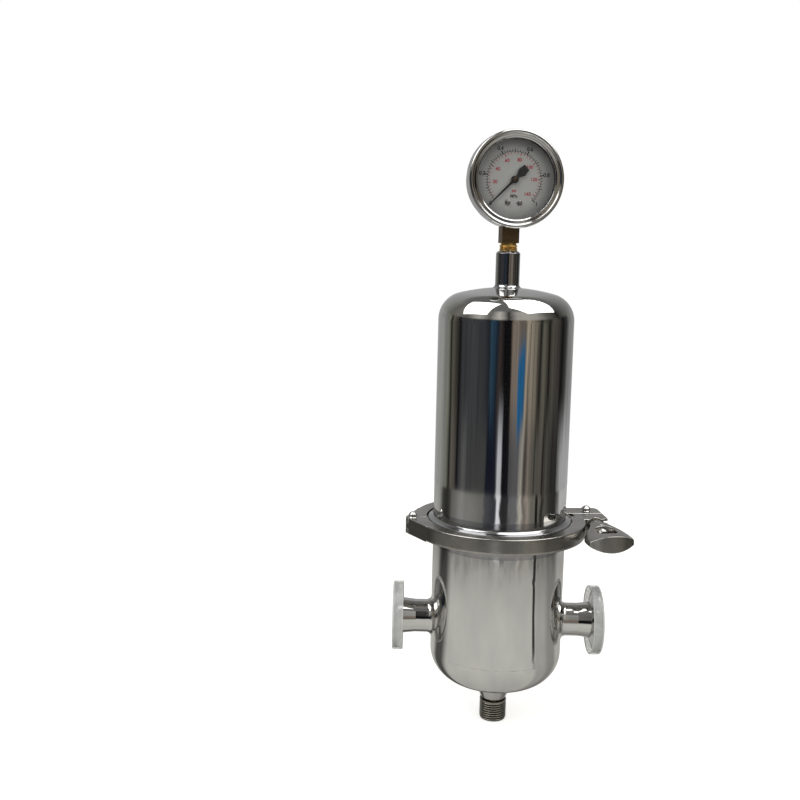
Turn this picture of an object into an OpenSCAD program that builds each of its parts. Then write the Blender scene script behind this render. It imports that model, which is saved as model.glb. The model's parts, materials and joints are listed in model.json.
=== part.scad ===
// Sanitary air filter housing: base with drain and two ports, domed shell, clamp joint,
// cartridge and pressure gauge. Millimetres, +Z up, z = 0 at the lower end of the drain thread,
// X along the ports, from the inlet at -X to the outlet at +X.

/* [Shell] */
// Outer diameter of the shell and of the base barrel
shell_d = 101.6; // [98:0.1:108]
// Wall of the shell, the base and the two dishes
shell_wall = 2; // [1.4:0.1:3]
// Straight length of the upper shell between its ferrule and its dome
shell_straight = 144.5; // [140:0.5:300]
// Straight length of the base barrel between its dish and its ferrule
base_straight = 84.6; // [80:0.2:160]
// Knuckle radius of the dome
dome_knuckle = 20.5; // [16:0.5:24]
// Crown radius of the dome
dome_crown = 140; // [120:1:180]
// Knuckle radius of the bottom dish
dish_knuckle = 26; // [20:0.5:30]
// Crown radius of the bottom dish
dish_crown = 160; // [120:1:200]

/* [Clamp joint] */
// Outer diameter of the two clamped flanges
flange_d = 119; // [116:0.5:122]
// Thickness of a flange at its rim
flange_rim = 2.85; // [2.4:0.05:3.2]
// Length of a body ferrule from its face to its weld
flange_l = 12.7; // [11:0.1:21.5]
// Slope of the back of a flange, in degrees
flange_slope = 20; // [18:0.5:22]
// Thickness of the body gasket between the flange faces
gasket_t = 1.8; // [1.4:0.1:2.4]
// Height of the clamp ring
clamp_h = 12; // [11.6:0.1:14]
// Wall of the clamp ring outside its groove
clamp_wall = 5.4; // [4.5:0.1:7]
// Angle of the clamp about the shell, seen from above, in degrees
clamp_turn = 6; // [-30:1:30]
// Diameter of the hinge pin
hinge_pin_d = 5; // [4:0.1:5.4]
// Radius of the hinge knuckles
knuckle_r = 5.5; // [5.2:0.1:6.5]
// Diameter of the swing bolt
bolt_d = 8; // [7:0.1:8.2]
// Length of the swing bolt from its pivot to its tip
bolt_l = 52; // [48:0.5:58]
// Diameter of the swing bolt's pivot pin
bolt_pin_d = 6; // [5:0.1:6.5]
// Outer radius of the swing bolt's eye
eye_r = 7; // [6:0.1:7.4]

/* [Wing nut] */
// Diameter of the nut's barrel
nut_barrel_d = 13; // [12:0.1:14]
// Length of the nut
nut_l = 48; // [44:0.5:56]
// Half of the wing's width
wing_half = 17.5; // [15:0.1:19]
// Thickness of the wing at its middle
wing_t = 12.6; // [11:0.1:13]
// Width of the window through the wing
window_w = 15; // [12:0.1:17]
// Length of the window through the wing
window_l = 20; // [15:0.1:21]
// Angle of the tightened wing about its bolt, in degrees
wing_turn = 3; // [-20:1:20]
// Diameter of the washer under the nut
washer_d = 15.6; // [14:0.1:15.7]
// Thickness of the washer under the nut
washer_t = 1.5; // [1:0.1:2]

/* [Ports] */
// Outer diameter of the inlet and outlet tubes
port_d = 25.4; // [23:0.1:26]
// Wall of the inlet and outlet tubes
port_wall = 1.65; // [1.2:0.05:2.5]
// Distance from the shell's axis to the face of each port ferrule
port_reach = 79.5; // [78:0.5:110]
// Height of the port axis above the top of the bottom dish
port_rise = 23.2; // [18:0.2:26]
// Outer diameter of the port ferrules
ferrule_d = 50.5; // [48:0.1:52]
// Length of a port ferrule from its face to its weld
ferrule_l = 12.7; // [10:0.1:16]
// Wall of the dust caps
cap_wall = 1.2; // [0.9:0.1:1.8]
// Length of a dust cap over all
cap_l = 8.3; // [7:0.1:10]

/* [Drain] */
// Major diameter of the drain's male pipe thread
drain_thread_d = 20.96; // [20:0.01:22]
// Length of the drain thread
drain_thread_l = 15.5; // [12:0.5:20]
// Height of the drain boss between the thread and the dish
drain_boss_h = 15; // [12:0.5:20]
// Bore of the drain
drain_bore_d = 13; // [9:0.5:14]

/* [Cartridge] */
// Outer diameter of the cartridge's end caps
cartridge_d = 69; // [64:0.5:72]
// Length of the cartridge between its seat and its top
cartridge_l = 156; // [120:1:160]
// Outer diameter of the cartridge spigot
spigot_d = 44; // [40:0.1:46]
// Depth of the seat that takes the spigot
seat_depth = 23; // [20:0.5:25]
// Number of pleats in the media
pleats = 48; // [30:2:60]
// Bend radius of the outlet elbow's centre line
elbow_r = 25; // [20:0.5:26]

/* [Gauge] */
// Outer diameter of the gauge socket on the dome
socket_d = 18; // [17:0.1:22]
// Height of the gauge socket above the dome
socket_h = 26.7; // [20:0.1:35]
// Height of the gauge's centre above the top of its socket
gauge_rise = 51.5; // [50:0.1:60]
// Outer diameter of the gauge case
case_d = 64; // [62:0.1:66]
// How far the bezel stands out beyond the case all round
bezel_lap = 3.25; // [2.6:0.05:4.5]
// How far the bezel covers the case's inside all round
view_rim = 3; // [2.5:0.1:4]
// Angle of the gauge about its stem, seen from above, in degrees
gauge_turn = 10; // [-90:1:90]
// Width across the flats of the stem's square
stem_flats = 13; // [12:0.1:14]
// Major diameter of the stem's thread
stem_thread_d = 13.16; // [12:0.01:13.2]
// Angle of the pointer's scale, in degrees
scale_sweep = 270; // [240:1:270]

/* [Hidden] */
$fn = 96;

// Clearances: running fits of pins, sliding and turning neighbours, and pieces seated in one body
run_gap = 0.06;
turn_gap = 0.2;
seat_gap = 0.05;
over = 1;

// Shell and dish
shell_r = shell_d / 2;
shell_ri = shell_r - shell_wall;
dome_h = dish_height(dome_knuckle, dome_crown);
dish_h = dish_height(dish_knuckle, dish_crown);
dish_z = drain_thread_l + drain_boss_h + dish_h;
joint_z = dish_z + base_straight + flange_l + gasket_t / 2;
shell_z = joint_z + gasket_t / 2 + flange_l;
dome_z = shell_z + shell_straight;
dome_top = dome_z + dome_h;
port_z = dish_z + port_rise;
port_ri = port_d / 2 - port_wall;

// Flange and clamp section
flange_r = flange_d / 2;
hub_fillet = 2.4;
gasket_bead = 1.1;
bead_r = shell_r + 4;
lip_r = flange_r - 3.3;
groove_r = flange_r + 1.1;
clamp_r = groove_r + clamp_wall;
flank_gap = 0.1;
split_gap = 0.8;
top_round = 0.8;
low_round = 2;
hinge_x = -(clamp_r + 1);
leaf_h = 4.6;

// Closing lugs of the clamp, in the clamp's own frame
bolt_x = clamp_r + 7.3;
lug_x = clamp_r + 18;
fork_front = -9;
fork_back = 8.5;
lug_front = 9.5;
lug_back = 27;
pin_y = 17.5;
bolt_gap = 0.2;
head_h = 1.8;
nut_start = pin_y - fork_front + flank_gap + washer_t;

// Cartridge
seat_r = spigot_d / 2 + 0.1;
seat_floor_z = port_z + elbow_r;
seat_z = seat_floor_z + seat_depth + 3;
end_cap_h = 8;
media_r = cartridge_d / 2 - 2;
core_r = 16;

// Gauge, in its own frame: X right, Y up, Z towards the reader, origin on the stem's axis
socket_z = dome_top + socket_h;
gauge_z = socket_z + gauge_rise;
case_front = 12;
case_back = -11;
bezel_r = case_d / 2 + bezel_lap;
view_r = case_d / 2 - view_rim;
window_seal = 2.8;
window_t = 2.5;
window_z = case_front + window_seal;
window_front = window_z + window_t;
pointer_l = view_r - 2;
dial_z = 9.4;
pointer_z = 11.2;
pinion_teeth = 10;
sector_teeth = 80;
gear_module = 0.3;
sector_at = 315;
gear_centres = gear_module * (pinion_teeth + sector_teeth) / 2;
tube_r = 21;
tip_at = -16;
root_at = 260;

function dish_height(knuckle, crown) =
    crown - sqrt(pow(crown - knuckle, 2) - pow(shell_r - knuckle, 2));
function polar(r, a) = [r * cos(a), r * sin(a)];
function smooth(t) = let (u = max(0, min(1, t))) u * u * (3 - 2 * u);

// Shapes used by several pieces

// Half section of a dished end of outer radius r: a knuckle arc that runs into a crown arc
module dish_section(r, knuckle, crown) {
    drop = sqrt(pow(crown - knuckle, 2) - pow(r - knuckle, 2));
    meet = (r - knuckle) * crown / (crown - knuckle);
    intersection() {
        translate([0, -drop]) circle(crown, $fn = 360);
        union() {
            translate([r - knuckle, 0]) circle(knuckle);
            square([meet, crown - drop + over]);
        }
        square([r + over, crown]);
    }
}

// Wall of a dished end, opening downwards, with its rim at z = 0
module dish_shell(knuckle, crown) {
    rotate_extrude() difference() {
        dish_section(shell_r, knuckle, crown);
        dish_section(shell_ri, knuckle - shell_wall, crown - shell_wall);
    }
}

// Clamped ferrule with its face at z = 0 and its weld end at z = l
module ferrule(rim_r, tube_r, bore_r, l, fillet) {
    hub_r = tube_r + fillet;
    hub_z = flange_rim + (rim_r - hub_r) * tan(flange_slope);
    rotate_extrude() difference() {
        polygon([[bore_r, 0], [rim_r, 0], [rim_r, flange_rim], [hub_r, hub_z],
            [hub_r, hub_z + fillet], [tube_r, hub_z + fillet], [tube_r, l], [bore_r, l]]);
        translate([hub_r, hub_z + fillet]) circle(fillet);
    }
}

// Ring with a concave fillet between a wall of radius r and a flat at z = 0
module root_fillet(r, size) {
    rotate_extrude() difference() {
        translate([r - seat_gap, 0]) square([size + seat_gap, size]);
        translate([r + size, size]) circle(size);
    }
}

module tube(outer, inner, h) {
    difference() {
        cylinder(r = outer, h = h);
        translate([0, 0, -over]) cylinder(r = inner, h = h + 2 * over);
    }
}

// Base

module port_cut() {
    translate([0, 0, port_z]) rotate([0, 90, 0])
        cylinder(r = port_d / 2, h = shell_d + 2 * over, center = true);
}

module base_barrel() {
    color("silver") difference() {
        translate([0, 0, dish_z]) tube(shell_r, shell_ri, base_straight);
        port_cut();
    }
}

module base_dish() {
    color("silver") difference() {
        translate([0, 0, dish_z]) mirror([0, 0, 1]) dish_shell(dish_knuckle, dish_crown);
        cylinder(r = drain_bore_d / 2, h = dish_z);
    }
}

module drain_nipple() {
    boss_r = 13;
    neck_r = 8.9;
    taper_z = drain_thread_l + 9.5;
    color("silver") difference() {
        union() {
            cylinder(r = drain_thread_d / 2, h = drain_thread_l);
            translate([0, 0, drain_thread_l]) cylinder(r1 = neck_r, r2 = boss_r, h = 9.5);
            translate([0, 0, taper_z]) cylinder(r = boss_r, h = drain_boss_h - 9.5 + over);
        }
        translate([0, 0, -over]) cylinder(r = drain_bore_d / 2, h = dish_z);
        translate([0, 0, dish_z]) mirror([0, 0, 1]) rotate_extrude()
            dish_section(shell_r, dish_knuckle, dish_crown);
    }
}

module body_ferrule() {
    difference() {
        ferrule(flange_r, shell_r, shell_ri, flange_l, hub_fillet);
        rotate_extrude() translate([bead_r, 0]) circle(gasket_bead);
    }
}

module base_ferrule() {
    color("lightgray") translate([0, 0, joint_z - gasket_t / 2]) mirror([0, 0, 1]) body_ferrule();
}

// Port nozzle along +Z: a tube that is cut to the barrel's curve, with a ferrule on its end
module nozzle() {
    difference() {
        union() {
            tube(port_d / 2, port_ri, port_reach - ferrule_l);
            translate([0, 0, port_reach]) mirror([0, 0, 1])
                ferrule(ferrule_d / 2, port_d / 2, port_ri, ferrule_l, 2);
        }
        rotate([0, 90, 0]) cylinder(r = shell_ri, h = shell_d, center = true);
    }
}

module inlet_nozzle() {
    color("silver") translate([0, 0, port_z]) rotate([0, -90, 0]) nozzle();
}

module outlet_nozzle() {
    color("silver") translate([0, 0, port_z]) rotate([0, 90, 0]) nozzle();
}

// Pipe from the outlet nozzle to the bottom of the seat
module outlet_elbow() {
    color("silver") {
        intersection() {
            translate([elbow_r, 0, port_z]) rotate([0, 90, 0]) tube(port_d / 2, port_ri, shell_r);
            cylinder(r = shell_ri, h = 2 * port_z);
        }
        translate([elbow_r, 0, port_z + elbow_r]) rotate([90, 0, 180]) rotate_extrude(angle = -90)
            translate([elbow_r, 0]) difference() {
                circle(port_d / 2);
                circle(port_ri);
            }
    }
}

module cartridge_seat() {
    wall = 3;
    color("silver") difference() {
        translate([0, 0, seat_floor_z]) cylinder(r = seat_r + wall, h = seat_depth + 3);
        translate([0, 0, seat_floor_z + 3]) cylinder(r = seat_r, h = seat_depth + over);
        translate([0, 0, seat_floor_z - over]) cylinder(r = port_ri, h = 6);
    }
}

// Upper shell

module upper_shell() {
    color("silver") translate([0, 0, shell_z]) tube(shell_r, shell_ri, shell_straight);
}

// Pressed dome, welded on the shell, with the gauge's pressure tap at its top
module upper_dome() {
    color("silver") difference() {
        translate([0, 0, dome_z]) dish_shell(dome_knuckle, dome_crown);
        translate([0, 0, dome_z]) cylinder(r = 4, h = dome_h + over);
    }
}

module upper_ferrule() {
    color("lightgray") translate([0, 0, joint_z + gasket_t / 2]) body_ferrule();
}

module gauge_socket() {
    chamfer = 1.6;
    thread_l = 18;
    color("dimgray") difference() {
        union() {
            translate([0, 0, dome_top - 1]) cylinder(r = socket_d / 2, h = socket_h + 1 - chamfer);
            translate([0, 0, socket_z - chamfer])
                cylinder(r1 = socket_d / 2, r2 = socket_d / 2 - chamfer, h = chamfer);
            translate([0, 0, dome_top - 0.4]) root_fillet(socket_d / 2, 3);
        }
        translate([0, 0, dome_z]) rotate_extrude() dish_section(shell_r, dome_knuckle, dome_crown);
        translate([0, 0, dome_z]) cylinder(r = 4, h = dome_h + socket_h);
        translate([0, 0, socket_z - thread_l]) cylinder(r = stem_thread_d / 2 + seat_gap, h = thread_l + over);
    }
}

module body_gasket() {
    color("white") translate([0, 0, joint_z]) rotate_extrude() {
        translate([shell_ri, -gasket_t / 2]) square([flange_r - 1 - shell_ri, gasket_t]);
        for (side = [-1, 1]) translate([bead_r, side * gasket_t / 2]) circle(gasket_bead - 0.1);
    }
}

// Clamp

module at_clamp() {
    translate([0, 0, joint_z]) rotate([0, 0, clamp_turn]) children();
}

// Solid ring body, with a small round on its upper outer edge and a larger one below
module ring_body() {
    rotate_extrude() {
        translate([0, -clamp_h / 2]) square([clamp_r - low_round, clamp_h]);
        translate([0, low_round - clamp_h / 2]) square([clamp_r, clamp_h - low_round - top_round]);
        square([clamp_r - top_round, clamp_h / 2]);
        translate([clamp_r - low_round, low_round - clamp_h / 2]) circle(low_round);
        translate([clamp_r - top_round, clamp_h / 2 - top_round]) circle(top_round);
    }
}

// Plan of the wedge with straight sides that runs out from the ring to the hinge
module hinge_outline() {
    touch = acos((clamp_r - knuckle_r) / -hinge_x);
    translate([hinge_x, 0]) circle(knuckle_r);
    polygon([for (side = [-1, 1]) each let (a = 180 - side * touch)
        side < 0
            ? [polar(clamp_r, a), [hinge_x, 0] + polar(knuckle_r, a)]
            : [[hinge_x, 0] + polar(knuckle_r, a), polar(clamp_r, a)]]);
}

// Ring with a wedge groove that grips the sloped backs of both flanges
module clamp_ring() {
    flank = gasket_t / 2 + flange_rim + flank_gap;
    groove_z = flank - (groove_r - flange_r) * tan(flange_slope);
    lip_z = flank + (flange_r - lip_r) * tan(flange_slope);
    difference() {
        union() {
            ring_body();
            linear_extrude(clamp_h, center = true) hinge_outline();
        }
        rotate_extrude() polygon([[0, -clamp_h], [lip_r, -clamp_h], [lip_r, -lip_z],
            [groove_r, -groove_z], [groove_r, groove_z], [lip_r, lip_z], [lip_r, clamp_h], [0, clamp_h]]);
    }
}

module at_hinge() {
    translate([hinge_x, 0, 0]) children();
}

module knuckle(z0, z1) {
    at_hinge() translate([0, 0, z0]) cylinder(r = knuckle_r, h = z1 - z0);
}

module knuckle_room(z0, z1) {
    at_hinge() translate([0, 0, z0]) cylinder(r = knuckle_r + turn_gap, h = z1 - z0);
}

// Plate block of a closing lug between y0 and y1, with rounded outer corners
module lug_block(y0, y1, round_front, round_back) {
    linear_extrude(clamp_h, center = true) difference() {
        union() {
            translate([0, y0 + round_front]) square([lug_x, y1 - y0 - round_front - round_back]);
            translate([0, y0]) square([lug_x - max(round_front, round_back), y1 - y0]);
            if (round_front > 0) translate([lug_x - round_front, y0 + round_front]) circle(round_front);
            if (round_back > 0) translate([lug_x - round_back, y1 - round_back]) circle(round_back);
        }
        circle(groove_r);
    }
}

module clamp_back_half() {
    slot_h = bolt_d + 2 * bolt_gap;
    leaf_z = leaf_h / 2 + turn_gap;
    color("gray") at_clamp() difference() {
        union() {
            difference() {
                clamp_ring();
                translate([-2 * clamp_r, -4 * clamp_r + split_gap / 2, -clamp_h])
                    cube([2 * clamp_r, 4 * clamp_r, 2 * clamp_h]);
                translate([0, -4 * clamp_r + lug_front, -clamp_h])
                    cube([2 * clamp_r, 4 * clamp_r, 2 * clamp_h]);
            }
            lug_block(lug_front, lug_back, 0, 5);
            knuckle(-clamp_h / 2, -leaf_z);
            knuckle(leaf_z, clamp_h / 2);
        }
        knuckle_room(-leaf_z, leaf_z);
        translate([bolt_x - eye_r - 0.5, 0, -slot_h / 2])
            cube([clamp_r, pin_y + eye_r + 0.5, slot_h]);
        at_hinge() cylinder(r = hinge_pin_d / 2 + seat_gap, h = 2 * clamp_h, center = true);
        translate([bolt_x, pin_y, 0])
            cylinder(r = bolt_pin_d / 2 + seat_gap, h = 2 * clamp_h, center = true);
    }
}

module clamp_front_half() {
    slot_h = bolt_d + 2 * bolt_gap;
    leaf_z = leaf_h / 2 + turn_gap;
    face_r = pin_y - fork_front;
    color("gray") at_clamp() difference() {
        union() {
            difference() {
                clamp_ring();
                translate([-2 * clamp_r, -split_gap / 2, -clamp_h])
                    cube([2 * clamp_r, 4 * clamp_r, 2 * clamp_h]);
                translate([0, 0, -clamp_h]) cube([2 * clamp_r, 4 * clamp_r, 2 * clamp_h]);
                knuckle_room(-clamp_h, -leaf_h / 2);
                knuckle_room(leaf_h / 2, clamp_h);
            }
            intersection() {
                lug_block(fork_front, fork_back, 0, 2);
                union() {
                    translate([0, -clamp_r, -clamp_h]) cube([bolt_x, 2 * clamp_r, 2 * clamp_h]);
                    translate([bolt_x, pin_y, 0]) cylinder(r = face_r, h = 2 * clamp_h, center = true);
                }
            }
            knuckle(-leaf_h / 2, leaf_h / 2);
        }
        translate([bolt_x - bolt_d / 2 - 1, -clamp_r, -slot_h / 2]) cube([clamp_r, 2 * clamp_r, slot_h]);
        at_hinge() cylinder(r = hinge_pin_d / 2 + run_gap, h = 2 * clamp_h, center = true);
    }
}

// Rivet-like pin with a low round head at each end
module headed_pin(d, head_r) {
    dome_r = (head_r * head_r + head_h * head_h) / (2 * head_h);
    cylinder(r = d / 2, h = clamp_h + 0.2, center = true);
    for (side = [0, 1]) mirror([0, 0, side]) translate([0, 0, clamp_h / 2]) intersection() {
        translate([0, 0, head_h - dome_r]) sphere(dome_r);
        cylinder(r = head_r, h = head_h);
    }
}

module clamp_hinge_pin() {
    color("lightgray") at_clamp() at_hinge() headed_pin(hinge_pin_d, 3.6);
}

module swing_bolt_pin() {
    color("lightgray") at_clamp() translate([bolt_x, pin_y, 0]) headed_pin(bolt_pin_d, 3.5);
}

// Frame of the swing bolt: origin on its pivot, Z along the bolt, Y up
module at_bolt() {
    at_clamp() translate([bolt_x, pin_y, 0]) rotate([90, 0, 0]) children();
}

module swing_bolt() {
    tip = bolt_d / 2;
    color("silver") at_bolt() difference() {
        union() {
            rotate([90, 0, 0]) cylinder(r = eye_r, h = bolt_d, center = true);
            cylinder(r = bolt_d / 2, h = bolt_l - tip);
            translate([0, 0, bolt_l - tip]) sphere(tip);
        }
        rotate([90, 0, 0]) cylinder(r = bolt_pin_d / 2 + run_gap, h = 2 * bolt_d, center = true);
    }
}

module nut_washer() {
    color("silver") at_bolt() translate([0, 0, nut_start - washer_t])
        tube(washer_d / 2, bolt_d / 2 + run_gap, washer_t - 0.05);
}

// Half width of the wing at a distance s from the nut's seat
function wing_width(s) = nut_barrel_d / 2 + (wing_half - nut_barrel_d / 2) * smooth((s - 9) / 25);

// Plan of the wing: it widens from the barrel, narrows a little and closes with a shallow arc
module wing_plan() {
    tip_s = nut_l - 4;
    tip_x = wing_half - 1.2;
    bow_r = (tip_x * tip_x + pow(nut_l - tip_s, 2)) / (2 * (nut_l - tip_s));
    side = [for (s = [8 : 2 : tip_s - 6]) [wing_width(s), s]];
    intersection() {
        polygon(concat(side, [[tip_x, tip_s], [tip_x, nut_l + over], [-tip_x, nut_l + over], [-tip_x, tip_s]],
            [for (i = [len(side) - 1 : -1 : 0]) [-side[i][0], side[i][1]]]));
        translate([0, nut_l - bow_r]) circle(bow_r, $fn = 180);
    }
}

// Cross-section of the wing: two flat arcs that leave a thin edge
module wing_section() {
    edge = 1.1;
    rise = wing_t / 2 - edge;
    arc_r = (wing_half * wing_half + rise * rise) / (2 * rise);
    intersection() {
        translate([0, wing_t / 2 - arc_r]) circle(arc_r, $fn = 180);
        translate([0, arc_r - wing_t / 2]) circle(arc_r, $fn = 180);
    }
}

module wing_window() {
    end_r = 6;
    centre = nut_l - 9 - window_l / 2;
    for (x = [-1, 1]) for (s = [-1, 1])
        translate([x * (window_w / 2 - end_r), centre + s * (window_l / 2 - end_r)]) circle(end_r);
    translate([0, centre]) square([window_w, window_l - 2 * end_r], center = true);
    translate([0, centre]) square([window_w - 2 * end_r, window_l], center = true);
}

module wing_nut() {
    color("darkgray") at_bolt() translate([0, 0, nut_start]) rotate([0, 0, wing_turn]) difference() {
        union() {
            cylinder(r = nut_barrel_d / 2, h = 16);
            intersection() {
                rotate([90, 0, 0]) linear_extrude(2 * wing_t, center = true) wing_plan();
                linear_extrude(nut_l + over) wing_section();
            }
        }
        translate([0, 0, -over]) cylinder(r = bolt_d / 2 + run_gap, h = nut_l - 9 - window_l / 2 + over);
        rotate([90, 0, 0]) linear_extrude(3 * wing_t, center = true) wing_window();
    }
}

// Dust caps

module dust_cap() {
    skirt_r = ferrule_d / 2 + seat_gap;
    edge = 0.8;
    color([0.93, 0.94, 0.93]) difference() {
        union() {
            cylinder(r = skirt_r + cap_wall, h = cap_l - edge);
            translate([0, 0, cap_l - edge])
                cylinder(r1 = skirt_r + cap_wall, r2 = skirt_r + cap_wall - edge, h = edge);
        }
        translate([0, 0, -over]) cylinder(r = skirt_r, h = cap_l - cap_wall + over);
    }
}

module at_cap() {
    translate([0, 0, port_reach + seat_gap + cap_wall - cap_l]) children();
}

module inlet_cap() {
    translate([0, 0, port_z]) rotate([0, -90, 0]) at_cap() dust_cap();
}

module outlet_cap() {
    translate([0, 0, port_z]) rotate([0, 90, 0]) at_cap() dust_cap();
}

// Cartridge

ring_cord = 3.5;
ring_pitch = 7;

module o_ring_grooves() {
    for (i = [0, 1]) translate([0, 0, seat_floor_z + 8 + i * ring_pitch]) rotate_extrude()
        translate([spigot_d / 2 - ring_cord, -ring_cord / 2 - 0.1])
            square([ring_cord, ring_cord + 0.2]);
}

module cartridge_spigot() {
    color("white") difference() {
        translate([0, 0, seat_floor_z + 4]) cylinder(r = spigot_d / 2, h = seat_z - seat_floor_z - 4);
        cylinder(r = port_ri, h = seat_z + over);
        o_ring_grooves();
    }
}

module cartridge_o_rings() {
    color("black") for (i = [0, 1]) translate([0, 0, seat_floor_z + 8 + i * ring_pitch]) rotate_extrude()
        translate([seat_r - 0.04 - ring_cord / 2, 0]) circle(ring_cord / 2, $fn = 32);
}

module cartridge_bottom_cap() {
    color("white") difference() {
        translate([0, 0, seat_z]) cylinder(r = cartridge_d / 2, h = end_cap_h);
        translate([0, 0, seat_z - over]) cylinder(r = port_ri, h = end_cap_h + 2 * over);
        translate([0, 0, seat_z + 2]) cylinder(r = core_r + 1.5, h = end_cap_h);
    }
}

media_z = seat_z + end_cap_h;
media_h = cartridge_l - 2 * end_cap_h;

module cartridge_core() {
    rows = 9;
    pitch = media_h / rows;
    color("whitesmoke") difference() {
        translate([0, 0, media_z]) tube(core_r + 1.4, core_r, media_h);
        for (row = [0 : rows - 1]) for (a = [0, 45, 90, 135])
            translate([0, 0, media_z + (row + 0.5) * pitch]) rotate([0, 0, a])
                cube([3 * core_r, 6, pitch - 5], center = true);
    }
}

// Pleated sheet: a zigzag between the core and the cage, one sheet thickness wide
module cartridge_media() {
    sheet = 0.7;
    inner = core_r + 2;
    step = 180 / pleats;
    color("white") translate([0, 0, media_z]) linear_extrude(media_h) difference() {
        polygon([for (i = [0 : 2 * pleats - 1]) polar(i % 2 == 0 ? media_r - 0.8 : inner + sheet, i * step)]);
        polygon([for (i = [0 : 2 * pleats - 1]) polar(i % 2 == 0 ? media_r - 5 : inner, i * step)]);
    }
}

// Cage of upright ribs and hoops round the media
module cartridge_cage() {
    hoops = 11;
    hoop_h = 4;
    outer = cartridge_d / 2 - 0.4;
    color("whitesmoke") translate([0, 0, media_z]) {
        linear_extrude(media_h) difference() {
            circle(outer - 0.2);
            circle(media_r + 0.2);
            for (a = [0 : 36 : 144]) rotate(a) square([2 * cartridge_d, 15], center = true);
        }
        for (i = [0 : hoops - 1]) translate([0, 0, i * (media_h - hoop_h) / (hoops - 1)])
            tube(outer, media_r, hoop_h);
    }
}

module cartridge_top_cap() {
    top_z = seat_z + cartridge_l;
    color("white") translate([0, 0, top_z - end_cap_h]) {
        cylinder(r = cartridge_d / 2, h = end_cap_h);
        translate([0, 0, end_cap_h]) cylinder(r1 = 9, r2 = 6, h = 6);
    }
}

// Gauge

module at_gauge() {
    translate([0, 0, gauge_z]) rotate([0, 0, gauge_turn]) rotate([90, 0, 0]) children();
}

// Rounded rectangle bar along Y between y0 and y1, centred on the stem's axis
module stem_bar(w, depth, y0, y1) {
    translate([-w / 2, y0, -depth / 2]) cube([w, y1 - y0, depth]);
}

module gauge_stem() {
    flats_y = 5.9 - gauge_rise;
    block_top = -15;
    thread_l = 13;
    color("saddlebrown") at_gauge() difference() {
        union() {
            intersection() {
                stem_bar(stem_flats, stem_flats, flats_y, block_top);
                rotate([-90, 0, 0])
                    cylinder(r = stem_flats * 0.66, h = 4 * stem_flats + 60, center = true);
            }
            translate([-stem_flats / 2, block_top - over, -stem_flats / 2])
                cube([stem_flats, over + 8, stem_flats / 2 - plate_z - plate_t]);
            translate([0, -gauge_rise, 0]) rotate([-90, 0, 0]) cylinder(r = 5.85, h = 6.1);
            translate([0, -gauge_rise - thread_l, 0]) rotate([-90, 0, 0])
                cylinder(r = stem_thread_d / 2, h = thread_l + 1.6);
        }
        translate([0, -gauge_rise - thread_l - over, 0]) rotate([-90, 0, 0])
            cylinder(r = 2.5, h = thread_l + over + gauge_rise - 22);
        rotate([0, 0, root_at - 30]) rotate_extrude(angle = 30.2)
            translate([tube_r - 1.2 - seat_gap, -4 - seat_gap]) square([2.4 + 2 * seat_gap, 8 + 2 * seat_gap]);
    }
}

module gauge_case() {
    wall = 1;
    back_r = 4;
    r = case_d / 2;
    color("silver") at_gauge() difference() {
        union() {
            rotate_extrude() difference() {
                union() {
                    translate([0, case_back + back_r]) square([r, case_front - case_back - back_r]);
                    translate([0, case_back]) square([r - back_r, back_r + over]);
                    translate([r - back_r, case_back + back_r]) circle(back_r);
                    translate([r - over, case_front - 2]) square([2.4, 2]);
                }
                translate([0, case_back + wall]) square([r - back_r, 3 * case_front]);
                translate([0, case_back + back_r]) square([r - wall, 3 * case_front]);
                translate([r - back_r, case_back + back_r]) circle(back_r - wall);
                translate([-r, case_back - over]) square([r, 4 * case_front]);
            }
        }
        stem_bar(stem_flats + 0.2, stem_flats + 0.2, -case_d, -case_d / 2 + 4);
    }
}

module gauge_bezel() {
    r = bezel_r;
    lip = 4.2;
    back = case_front - 4.5;
    front = window_front + 2.2;
    color("silver") at_gauge() rotate_extrude() difference() {
        union() {
            translate([view_r, back]) square([r - view_r, front - lip - back]);
            translate([r - lip, front - lip]) circle(lip);
            translate([view_r, front - lip]) square([r - lip - view_r, lip]);
        }
        translate([0, back - over]) square([case_d / 2 + 1.6, window_front + 0.1 - back + over]);
        polygon([[0, window_z], [view_r, window_z], [view_r, window_front + 0.3], [r - lip, front],
            [r - lip, front + over], [0, front + over]]);
    }
}

module gauge_window() {
    color([0.85, 0.9, 0.92, 0.35]) at_gauge() translate([0, 0, window_z])
        cylinder(r = case_d / 2 + 0.8, h = window_t);
}

module window_gasket() {
    color("black") at_gauge() translate([0, 0, case_front])
        tube(case_d / 2 + 1.2, view_r + 0.4, window_seal);
}

dial_screw_x = 4.7;
dial_screw_y = -16;

module gauge_dial() {
    color([0.8, 0.8, 0.78]) at_gauge() translate([0, 0, dial_z]) difference() {
        cylinder(r = case_d / 2 - 1.4, h = 0.6);
        translate([0, 0, -over]) cylinder(r = 2.4, h = 3);
        for (x = [-dial_screw_x, dial_screw_x]) translate([x, dial_screw_y, -over]) cylinder(r = 0.8, h = 3);
    }
}

// Two screws that hold the dial on the stem block, each with its spacer
module dial_screws() {
    color("silver") at_gauge() for (x = [-dial_screw_x, dial_screw_x]) translate([x, dial_screw_y, 0]) {
        translate([0, 0, stem_flats / 2]) cylinder(r = 1.5, h = dial_z - stem_flats / 2);
        translate([0, 0, stem_flats / 2]) cylinder(r = 0.75, h = dial_z - stem_flats / 2 + over);
        translate([0, 0, dial_z + 0.6]) cylinder(r = 1.6, h = 0.7);
    }
}

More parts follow.
